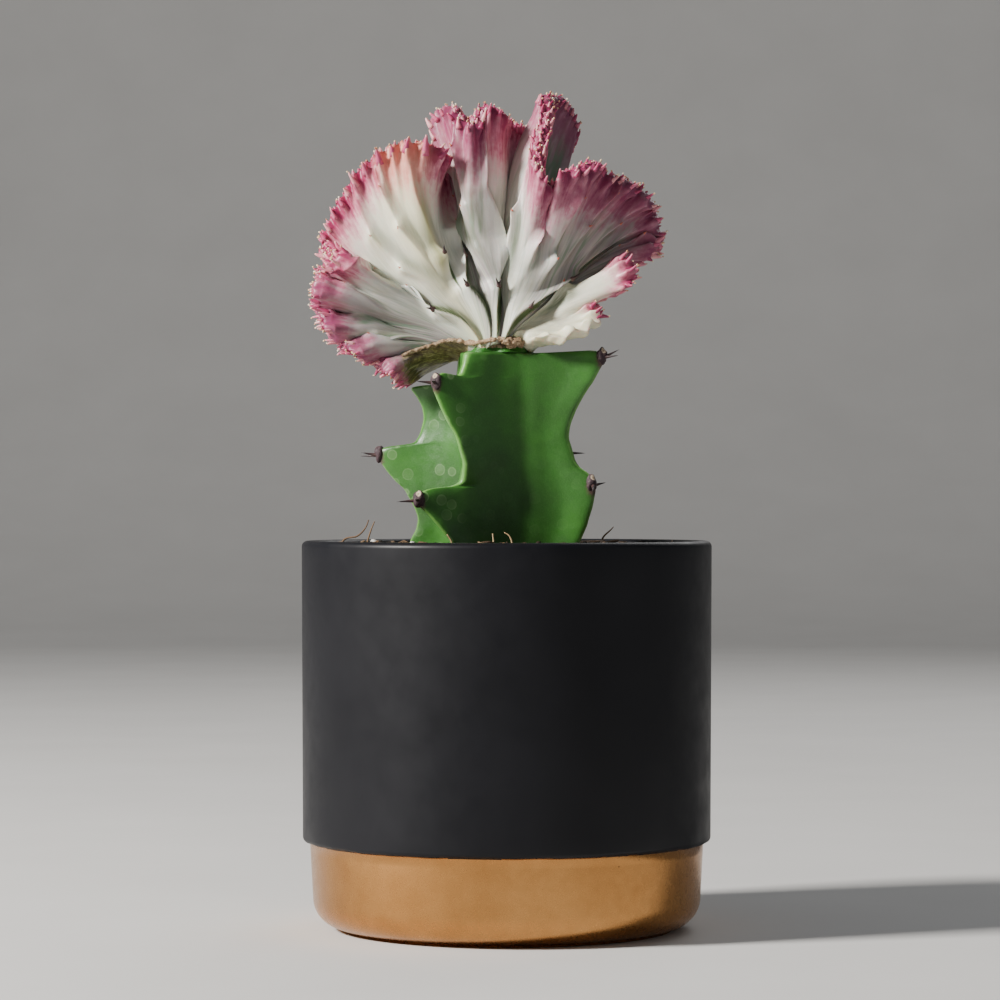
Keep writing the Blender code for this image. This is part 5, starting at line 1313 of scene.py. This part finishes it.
pad_shape = layered_shape("scar")
scar = pad_shape.verts.layers.float["scar"]
stem_spines = layered_shape("height", "tone")
draw = random.Random(21)
for place, look, tilted, sideways, spines in pads:
    made = bmesh.ops.create_uvsphere(pad_shape, u_segments=20, v_segments=12, radius=1.0)
    matrix = frame_at(place + 0.4 * MM * (tilted - look), tilted, sideways)
    pale = Vector((draw.uniform(-0.3, 0.3), 0.72, 0.6)).normalized()
    for vertex in made["verts"]:
        vertex[scar] = (vertex.co - pale).length
        lump = 1 + 0.30 * noise.noise(vertex.co * 1.3 + place * 900)
        inset = SCAR_DEPTH * max(0.0, 1 - vertex[scar] / SCAR_SIZE)
        local = vertex.co * (lump - inset) * AREOLE_RADIUS
        vertex.co = matrix @ Vector([share * part for share, part in zip(PAD_FORM, local)])
    for (along, out, up), length in spines:
        direction = sideways * along + look * out + Vector((0, 0, up))
        root = place + look * 0.5 * MM + sideways * along * 0.7 * MM - Vector((0, 0, 0.4 * MM))
        add_bent(stem_spines, spine_body, frame_at(root, direction, sideways), length * MM, 0.85 * MM,
                 draw.uniform(-0.08, 0.08), 0.5)

stem_skin, shader = new_finish("stem_skin", {
    "Subsurface Weight": 0.08, "Subsurface Radius": (0.6, 1.2, 0.4), "Subsurface Scale": 0.0010,
    "Specular IOR Level": 0.36})
at = place_in(shader)
green = ramp(cloud(at, 0.06, 4, 0.5, 0.4), (0.3, (0.008, 0.054, 0.006)),
             (0.5, (0.016, 0.094, 0.010)), (0.72, (0.038, 0.160, 0.020)))
fleck = ramp(cloud(at, 2.2, 4, 0.65), (0.45, 0.0), (0.75, 0.25))
edge = sums("MULTIPLY_ADD", cloud(at, 0.8, 3), 0.5, layer(shader, "inset"))
# Pale round scars, nearly all of them at the left.
ring = add_node(at, "TexVoronoi", {"Vector": at, "Scale": 0.17, "Randomness": 1.0}).outputs[0]
ring = sums("MULTIPLY_ADD", cloud(at, 0.9, 3), 0.05, ring)
ring = ramp(ring, (0.0, 0.32), (0.27, 0.22), (0.32, 0.5), (0.36, 0.0))
leftwards = sums("MULTIPLY", add_node(at, "SeparateXYZ", {"Vector": at}).outputs["X"], -0.05)
seen = sums("MULTIPLY", ramp(cloud(at, 0.045, 2), (0.40, 0.0), (0.50, 0.65)),
            ramp(leftwards, (0.6, 0.12), (0.8, 1.0)))
brown = sums("MULTIPLY_ADD", cloud(at, 1.2, 4), 0.5, layer(shader, "horn"))
for cover, colour in ((fleck, (0.07, 0.22, 0.045)),
                      (ramp(edge, (0.45, 0.75), (1.0, 0.12)), (0.16, 0.37, 0.08)),
                      (sums("MULTIPLY", ring, seen), (0.28, 0.42, 0.20)),
                      (ramp(brown, (0.62, 0.0), (0.95, 0.95)), (0.085, 0.045, 0.04))):
    green = mixed(cover, green, colour)
paint(shader, green, ramp(cloud(at, 0.5, 5, 0.6), (0.3, 0.30), (0.7, 0.46)),
      sums("MULTIPLY_ADD", cloud(at, 2.5, 4), 0.6, cloud(at, 0.45, 4)), 0.12, 0.5)

pad_horn, shader = new_finish("pad_horn", {"Specular IOR Level": 0.4})
at = place_in(shader)
bark = ramp(cloud(at, 0.9, 5, 0.65), (0.3, (0.022, 0.012, 0.016)), (0.55, (0.055, 0.030, 0.036)),
            (0.75, (0.15, 0.10, 0.095)))
scar_at = sums("MULTIPLY_ADD", cloud(at, 1.5, 3), 0.16, layer(shader, "scar"))
scarred = ramp(scar_at, (0.24, (0.30, 0.20, 0.13)), (0.32, (0.52, 0.42, 0.30)),
               (0.5, (0.50, 0.40, 0.29)))
paint(shader, mixed(ramp(scar_at, (0.50, 1.0), (0.60, 0.0)), bark, scarred),
      ramp(cloud(at, 1.4, 4), (0.3, 0.5), (0.7, 0.8)), cloud(at, 1.8, 5, 0.65), 0.25, 0.8)

stem_shape = sheet_shape(stem_rows, {"inset": stem_rings[:, :, 3], "horn": horn})
finish_piece("stem_skin", stem_shape, [stem_skin], "rootstock")
finish_piece("areole_pads", pad_shape, [pad_horn])
finish_piece("stem_spines", stem_spines, [dark_spine])


# Soil: potting mix of peat and bark that fills the pot to just under its rim, packed round the
# stem. Crumbs, bark chips and grains of perlite lie on it, and dry root fibres stick out of it.
SOIL_HEIGHT = 119.2
SOIL_LUMP = 1.3
SOIL_GAP = 0.3 * MM
STEM_HOLE_CLEARANCE = 0.9
SOIL_COLUMNS = 360
SOIL_RINGS = 60
CRUMBS = 520
BARK_CHIPS = 70
PERLITE_GRAINS = 64
LOOSE_FIBRES = 46
LOOK_DOWN_FROM = 0.16
# Sizes in mm of the grains and fibres on it, and how they lie.
CRUMB_SIZES = (0.5, 0.7, 0.9, 1.3)
CRUMB_VARIETY = (0.8, 1.3)
BARK_LENGTH = (2.0, 5.0)
BARK_BREADTH = (0.25, 0.5)
BARK_DEPTH = (0.5, 0.9)
BARK_LIFT = 0.3 * MM
BARK_TILT = 0.35
PERLITE_SIZE = (0.5, 1.5)
GRAIN_LUMP = 0.45
FIBRE_RADII = (0.36, 0.16)
LOOSE_FIBRE_RADII = (0.22, 0.08)
LOOSE_FIBRE_STRIDE = (1.2, 2.4)
LOOSE_FIBRE_BEND = 0.7
LOOSE_FIBRE_LIFT = (0.1, 0.9)
# Its clods: their height and size in mm, and a seed.
SOIL_CLODS = ((1.5, 5.0, 0.7), (0.8, 1.9, 4.2))
SOIL_WALL_DROP = 0.8
# Dry root fibres, each a run of places in mm that rises out of the soil, with its paleness.
ROOT_FIBRES = [
    (0.25, [(-52, -8, 116), (-50, -8, 120.5), (-46, -9, 121.5), (-43.5, -9, 124), (-42.5, -9, 126.5)]),
    (0.35, [(-43.5, -6, 116), (-43, -6, 119.5), (-42, -6, 123), (-40.8, -6, 126)]),
    (0.9, [(-4, -34, 116), (-4, -34, 119.5), (-4.3, -34, 122.5)]),
    (0.75, [(1.6, -30, 116), (1.6, -30, 119.5), (0.7, -30, 121.8), (-0.8, -30, 122.8)]),
    (0.6, [(-17, -36, 116), (-16.6, -36, 119.8), (-18, -36, 122.3)]),
    (0.4, [(30, 24, 116), (30.5, 25, 120.5), (33, 27, 123), (34, 30, 124)]),
]


def soil_lumps(x, y):
    """Height of the soil's surface over its level in mm, from a few crossed waves."""
    waves = np.sin(0.31 * x + 1.1) * np.cos(0.27 * y) + 0.6 * np.sin(0.73 * x - 0.52 * y)
    return SOIL_LUMP * (0.5 * waves + 0.25 * np.sin(1.3 * y + 0.9 * x))


def hole_ring(height):
    """The hole for the stem at a height, in mm, as places at the soil's own angles."""
    ring = stem_ring(height, STEM_HOLE_CLEARANCE)
    turns = np.arctan2(ring[:, 1], ring[:, 0])
    reach = np.interp(soil_turns, turns[:-1], np.hypot(ring[:-1, 0], ring[:-1, 1]), period=2 * math.pi)
    return np.stack([STEM_X / MM + reach * np.cos(soil_turns), reach * np.sin(soil_turns),
                     np.full(len(reach), height)], 1)


def add_tube(shape, line, radii, tone, sides=6):
    """A thin tube along a line, closed at both ends."""
    turns = np.linspace(0, 2 * math.pi, sides + 1)
    along = np.gradient(line, axis=0)
    along /= np.linalg.norm(along, axis=1)[:, None]
    across = np.cross(along, (0.31, 0.87, 0.38))
    across /= np.linalg.norm(across, axis=1)[:, None]
    over = np.cross(along, across)
    radii = np.concatenate([[0], radii, [0]])
    line, across, over = [np.concatenate([part[:1], part, part[-1:]]) for part in (line, across, over)]
    rows = (line[:, None] + radii[:, None, None] * (across[:, None] * np.cos(turns)[None, :, None]
                                                    + over[:, None] * np.sin(turns)[None, :, None]))
    add_grid(shape, rows, {"tone": np.full(rows.shape[:2], tone)})


def add_grain(shape, place, size, turn, tone, faces):
    """An uneven grain: a ball with few faces, stretched to its size in mm and turned."""
    made = bmesh.ops.create_icosphere(shape, subdivisions=faces, radius=1.0)["verts"]
    tint = shape.verts.layers.float["tone"]
    matrix = Matrix.Translation(place) @ Euler(turn).to_matrix().to_4x4()
    for vertex in made:
        lump = 1 + GRAIN_LUMP * noise.noise(vertex.co * 1.3 + Vector(place) * 700)
        vertex.co = matrix @ Vector([lump * part * length * MM for part, length in zip(vertex.co, size)])
        vertex[tint] = tone


soil_turns = np.linspace(0, 2 * math.pi, SOIL_COLUMNS + 1)
inner = (pot_inner - SOIL_GAP) / MM
around = np.stack([np.cos(soil_turns), np.sin(soil_turns)], 1)
foot_ring = hole_ring(STEM_FOOT)
foot_ring[:, 2] = STEM_FOOT - STEM_HOLE_CLEARANCE
hole_rings = [hole_ring(height) for height in np.arange(STEM_FOOT + 2, SOIL_HEIGHT - 1, 2.5)]
mouth = hole_ring(SOIL_HEIGHT)
soil_rows = [foot_ring.mean(axis=0) + 0 * foot_ring, foot_ring, *hole_rings]
for share in np.linspace(0, 1, SOIL_RINGS):
    ring = mouth.copy()
    ring[:, :2] += share * (inner * around - mouth[:, :2])
    ring[:, 2] += soil_lumps(ring[:, 0], ring[:, 1])
    for height, size, seed in SOIL_CLODS:
        ring[:, 2] += height * np.sqrt(np.abs(uneven(ring, size, seed))) - height
    ring[:, 2] -= SOIL_WALL_DROP * max(0, 12 * share - 11)
    soil_rows.append(ring)
for radius, height in [(inner, 108.0 * MM)] + pot_inner_profile(SOIL_GAP)[::-1]:
    radius = min(radius, inner) if radius > 1 else radius / MM
    soil_rows.append(np.concatenate([radius * around, np.full((len(around), 1), height / MM)], 1))
soil_rows = np.array(soil_rows) * MM
soil_rows[:, -1] = soil_rows[:, 0]
soil_shape = sheet_shape(soil_rows, {})
ground = BVHTree.FromBMesh(soil_shape)

crumb_shape, perlite_shape, fibre_shape = [layered_shape("tone") for kind in range(3)]
draw = random.Random(34)


def soil_under(x, y):
    """The place on the soil under here, or None past its edge."""
    return ground.ray_cast(Vector((x, y, LOOK_DOWN_FROM)), Vector((0, 0, -1)))[0]


def ground_place():
    """A place on the soil between the stem and the pot's wall, in metres, drawn at random."""
    while True:
        turn = draw.uniform(0, 2 * math.pi)
        reach = (inner - 2.5) * math.sqrt(draw.random())
        x, y = reach * math.cos(turn) * MM, reach * math.sin(turn) * MM
        share = math.atan2(y, x - STEM_X) % (2 * math.pi) / (2 * math.pi)
        stem_side = mouth[int(share * SOIL_COLUMNS), :2] - (STEM_X / MM, 0)
        if math.hypot(x - STEM_X, y) > np.linalg.norm(stem_side) * MM + 1.5 * MM:
            return soil_under(x, y)


def random_turn(level=math.pi):
    """A turn in radians about all axes, nearly level if asked."""
    return (draw.uniform(-level, level), draw.uniform(-level, level), draw.uniform(0, 2 * math.pi))


for number in range(CRUMBS):
    size = draw.choice(CRUMB_SIZES) * draw.uniform(*CRUMB_VARIETY)
    place = ground_place()
    add_grain(crumb_shape, place, (size, size * draw.uniform(0.6, 1), size * 0.7), random_turn(),
              draw.random() * 0.5, 1)
for number in range(BARK_CHIPS):
    length = draw.uniform(*BARK_LENGTH)
    place = ground_place() + Vector((0, 0, BARK_LIFT))
    size = (length, length * draw.uniform(*BARK_BREADTH), draw.uniform(*BARK_DEPTH))
    add_grain(crumb_shape, place, size, random_turn(BARK_TILT), draw.uniform(0.45, 1.0), 2)
for number in range(PERLITE_GRAINS):
    size = draw.uniform(*PERLITE_SIZE)
    add_grain(perlite_shape, ground_place(), (size, size * 0.9, size * 0.8), random_turn(),
              draw.random(), 2)
for paleness, route in ROOT_FIBRES:
    line = rounded_line(route, 5) * MM
    add_tube(fibre_shape, line, np.linspace(*FIBRE_RADII, len(line)) * MM, paleness)
for number in range(LOOSE_FIBRES):
    place = np.array(ground_place())
    heading = draw.uniform(0, 2 * math.pi)
    route = [place - (0, 0, 0.5 * MM)]
    for step in range(5):
        heading += draw.uniform(-LOOSE_FIBRE_BEND, LOOSE_FIBRE_BEND)
        stride = draw.uniform(*LOOSE_FIBRE_STRIDE) * MM
        place = place + (stride * math.cos(heading), stride * math.sin(heading), 0)
        hit = soil_under(place[0], place[1])
        if hit is None or math.hypot(place[0], place[1]) > (inner - 1.5) * MM:
            break
        lift = draw.uniform(*LOOSE_FIBRE_LIFT) * MM
        route.append(np.array((place[0], place[1], hit.z + lift)))
    if len(route) > 3:
        line = rounded_line(route, 3)
        radii = np.linspace(*LOOSE_FIBRE_RADII, len(line)) * MM
        add_tube(fibre_shape, line, radii, draw.uniform(0.1, 0.8))

peat, shader = new_finish("peat", {"Specular IOR Level": 0.25})
fibrous = cloud(place_in(shader, (1, 0.25, 1), (0.4, 0.2, 0.9)), 1.4, 5, 0.7, 0.6)
grains = cloud(place_in(shader), 0.8, 6, 0.75)
brown = ramp(sums("MULTIPLY_ADD", fibrous, 0.5, sums("MULTIPLY", grains, 0.5)),
             (0.3, (0.009, 0.006, 0.004)), (0.5, (0.028, 0.018, 0.011)), (0.7, (0.075, 0.050, 0.030)))
paint(shader, brown, ramp(grains, (0.3, 0.75), (0.7, 0.95)), sums("ADD", fibrous, grains), 0.7)

chips, shader = new_finish("bark_and_crumbs", {"Specular IOR Level": 0.25})
rough = cloud(place_in(shader, (1, 0.4, 1), (0.2, 0.5, 0.3)), 1.6, 5, 0.7)
tint = sums("MULTIPLY_ADD", rough, 0.5, sums("SUBTRACT", layer(shader, "tone"), 0.25))
paint(shader, ramp(tint, (0.05, (0.012, 0.008, 0.005)), (0.45, (0.05, 0.03, 0.017)),
                   (0.75, (0.13, 0.08, 0.045)), (1.0, (0.24, 0.16, 0.09))),
      ramp(rough, (0.3, 0.7), (0.7, 0.95)), rough, 0.4)

perlite, shader = new_finish("perlite", {"Specular IOR Level": 0.35})
pits = cloud(place_in(shader), 3.0, 4, 0.7)
paint(shader, ramp(pits, (0.3, (0.35, 0.32, 0.27)), (0.6, (0.72, 0.71, 0.67))),
      ramp(pits, (0.3, 0.6), (0.7, 0.9)), pits, 0.3)

dry_root, shader = new_finish("dry_root", {"Specular IOR Level": 0.35})
at = place_in(shader)
mottled = cloud(at, 1.2, 4, 0.7)
tint = sums("MULTIPLY_ADD", mottled, 0.4, sums("SUBTRACT", layer(shader, "tone"), 0.2))
paint(shader, ramp(tint, (0.1, (0.07, 0.035, 0.018)), (0.5, (0.26, 0.15, 0.07)),
                   (0.9, (0.56, 0.40, 0.22))),
      ramp(mottled, (0.3, 0.5), (0.7, 0.8)), cloud(at, 4.0, 4), 0.1, 0.8)

finish_piece("soil_body", soil_shape, [peat], "soil")
finish_piece("soil_crumbs", crumb_shape, [chips])
finish_piece("soil_perlite", perlite_shape, [perlite])
finish_piece("root_fibres", fibre_shape, [dry_root])


# Graft: the callus that healed the stem's cut top to the crest, a seam of dry cork. It swells out
# in beads all round and in a knob at the front.
CALLUS_LOW = 178.02
CALLUS_HEIGHT = 2.7
CALLUS_RADIUS = 9.5
CALLUS_BREADTH = 1.15
CALLUS_DEPTH = 0.8
CALLUS_FRONT_DEPTH = 1.04
CALLUS_TAPER = 0.16
CALLUS_TOP = 0.86
CALLUS_FORWARD = 0.5
# Waves round it: each one's share, how many there are and its start. Then its beads, of noise:
# each kind's share, size in mm and seed.
CALLUS_WAVES = ((0.06, 5, 0), (0.05, 9, 1))
CALLUS_BEADS = ((0.10, 2.0, 5.3), (0.05, 0.9, 2.8))
CALLUS_COLUMNS = 180
CALLUS_ROUNDS = 13
# Its knob and beads: place in mm and size.
CORK_KNOBS = (((0.3, -10.3, 181.6), 1.9), ((2.6, -10.0, 181.3), 1.7), ((4.3, -9.2, 180.9), 1.2),
              ((-2.0, -10.2, 181.9), 1.3), ((-4.2, -9.8, 181.5), 0.9), ((5.6, -7.6, 180.6), 1.0),
              ((1.4, -9.8, 180.0), 1.2))
RIM_STEPS = 10
RIM_RINGS = 90
RIM_RADIUS = 0.75 * MM
RIM_SUNK = 0.1 * MM
RIM_LUMP = 0.5 * MM
RIM_LUMP_SIZE = 1.3 * MM
KNOB_FORM = (1.15, 0.8, 0.75)

callus_turns = np.linspace(0, 2 * math.pi, CALLUS_COLUMNS + 1)
lump = 1 + waves_at(callus_turns, CALLUS_WAVES)
depth = np.where(np.sin(callus_turns) < 0, CALLUS_FRONT_DEPTH, CALLUS_DEPTH)
callus_rows = []
for turn in np.linspace(-90, 90, CALLUS_ROUNDS):
    domed = math.cos(math.radians(max(turn, 0)))
    share = CALLUS_TOP + (1 - CALLUS_TOP) * domed if abs(turn) < 90 else 0.0
    upwards = 0.5 + 0.5 * math.sin(math.radians(turn))
    reach = CALLUS_RADIUS * share * lump * (1 - CALLUS_TAPER * upwards)
    callus_rows.append(np.stack([STEM_X / MM + CALLUS_BREADTH * reach * np.cos(callus_turns),
                                 depth * reach * np.sin(callus_turns) - CALLUS_FORWARD,
                                 np.full(len(reach), CALLUS_LOW + CALLUS_HEIGHT * upwards)], 1))
callus_rows = np.array(callus_rows)
beads = sum(share * uneven(callus_rows, size, seed) for share, size, seed in CALLUS_BEADS)
beads *= np.clip((callus_rows[:, :, 2] - CALLUS_LOW) / CALLUS_HEIGHT, 0.1, 1)
callus_rows[:, :, :2] += (callus_rows[:, :, :2] - (STEM_X / MM, -CALLUS_FORWARD)) * beads[:, :, None]
callus_rows[:, -1] = callus_rows[:, 0]
callus_shape = sheet_shape(callus_rows * MM, {})
rim_shape = layered_shape("tone")
for place, size in CORK_KNOBS:
    place = Vector(place)
    for vertex in bmesh.ops.create_icosphere(rim_shape, subdivisions=4, radius=1.0)["verts"]:
        lump = 1 + 0.30 * noise.noise(vertex.co * 1.9 + place) + 0.12 * noise.noise(vertex.co * 5)
        stretched = Vector(KNOB_FORM) * lump * size
        vertex.co = (place + Vector([a * b for a, b in zip(vertex.co, stretched)])) * MM

rim_line = rounded_line([(x, 0, z) for x, z in CORK_RIM], RIM_STEPS) * MM
eye = Vector(CAMERA_PLACE)
rim_places = []
for place in rim_line:
    look = Vector(place - np.array(eye)).normalized()
    hit = crest_surface.ray_cast(eye, look)[0]
    rim_places.append(np.array(hit if hit is not None else place) - np.array(look) * RIM_SUNK)
rim_places = blurred(np.array(rim_places), 1.2)
add_tube(rim_shape, evenly_spaced(rim_places, RIM_RINGS)[0], RIM_RADIUS * np.ones(RIM_RINGS), 0.5, 10)
noise.seed_set(5)
for vertex in rim_shape.verts:
    vertex.co += RIM_LUMP * noise.noise_vector(vertex.co / RIM_LUMP_SIZE)

cork, shader = new_finish("cork", {"Specular IOR Level": 0.25})
crusty = cloud(place_in(shader), 0.9, 6, 0.7, 0.5)
paint(shader, ramp(crusty, (0.32, (0.10, 0.055, 0.03)), (0.5, (0.33, 0.22, 0.13)),
                   (0.68, (0.60, 0.47, 0.32))),
      ramp(crusty, (0.3, 0.95), (0.7, 0.75)), crusty, 0.35)

healed, shader = new_finish("healed_skin", {"Specular IOR Level": 0.4})
at = place_in(shader)
crusty = cloud(at, 0.9, 6, 0.7, 0.5)
level = add_node(at, "SeparateXYZ", {0: at}).outputs[2]
level = sums("MULTIPLY_ADD", crusty, 2.4, sums("SUBTRACT", level, CALLUS_LOW + 1.9))
corky = ramp(crusty, (0.32, (0.12, 0.07, 0.035)), (0.68, (0.50, 0.37, 0.24)))
paint(shader, mixed(ramp(level, (0.7, 0.0), (1.0, 1.0)), (0.023, 0.125, 0.013), corky),
      ramp(level, (0.7, 0.4), (1.0, 0.85)), crusty, 0.25, 0.8)
finish_piece("graft_seam", callus_shape, [healed], "graft_callus")
finish_piece("cork_rim", rim_shape, [cork])


# Floor and light: a pale sweep under the pot, one large soft lamp high at the front left, as in
# the photograph, a weak one at the right, and a soft one from behind for the outline.
SWEEP_WIDTH = 6.0
SWEEP_FRONT = 2.5
SWEEP_BACK = 2.2
SWEEP_ROUND = 1.2
SWEEP_HEIGHT = 3.0
LAMP_AIM = (0, 0, 0.16)
sweep = bmesh.new()
sweep_line = [(-SWEEP_FRONT, 0.0), (SWEEP_BACK, 0.0)]
sweep_line += arc((SWEEP_BACK, SWEEP_ROUND), SWEEP_ROUND, -80, 0, 12)
sweep_line += [(SWEEP_BACK + SWEEP_ROUND, SWEEP_HEIGHT)]
sweep_verts = [sweep.verts.new((-SWEEP_WIDTH / 2, y, z)) for y, z in sweep_line]
sweep_edges = [sweep.edges.new(pair) for pair in zip(sweep_verts, sweep_verts[1:])]
pulled = bmesh.ops.extrude_edge_only(sweep, edges=sweep_edges)["geom"]
bmesh.ops.translate(sweep, vec=(SWEEP_WIDTH, 0, 0),
                    verts=[item for item in pulled if isinstance(item, bmesh.types.BMVert)])
bmesh.ops.recalc_face_normals(sweep, faces=sweep.faces)
pale_paper, shader = new_finish("pale_paper", {"Roughness": 0.75, "Specular IOR Level": 0.2})
paint(shader, ramp(cloud(place_in(shader), 0.01, 4), (0.3, (0.58, 0.57, 0.555)),
                   (0.7, (0.61, 0.60, 0.585))))
studio = add_object("studio_sweep", smooth_mesh("studio_sweep", sweep, [pale_paper]))


def add_lamp(name, place, size, power, colour):
    """A square soft lamp that looks at the plant."""
    lamp = bpy.data.lights.new(name, "AREA")
    lamp.shape = "SQUARE"
    lamp.size = size
    lamp.energy = power
    lamp.color = colour
    aim = Vector(LAMP_AIM) - Vector(place)
    add_object(name, lamp, place, aim.to_track_quat("-Z", "Y").to_euler())


add_lamp("key_lamp", (-1.48, -0.62, 1.08), 0.30, 95, (1.0, 0.97, 0.93))
add_lamp("side_lamp", (1.4, -0.7, 0.7), 1.2, 1.5, (0.92, 0.96, 1.0))
add_lamp("back_lamp", (0.6, 1.2, 1.1), 0.8, 6, (1.0, 1.0, 1.0))
room = bpy.data.worlds.new("room")
room.use_nodes = True
room.node_tree.nodes["Background"].inputs["Color"].default_value = (0.75, 0.80, 0.86, 1)
room.node_tree.nodes["Background"].inputs["Strength"].default_value = 0.15
bpy.context.scene.world = room
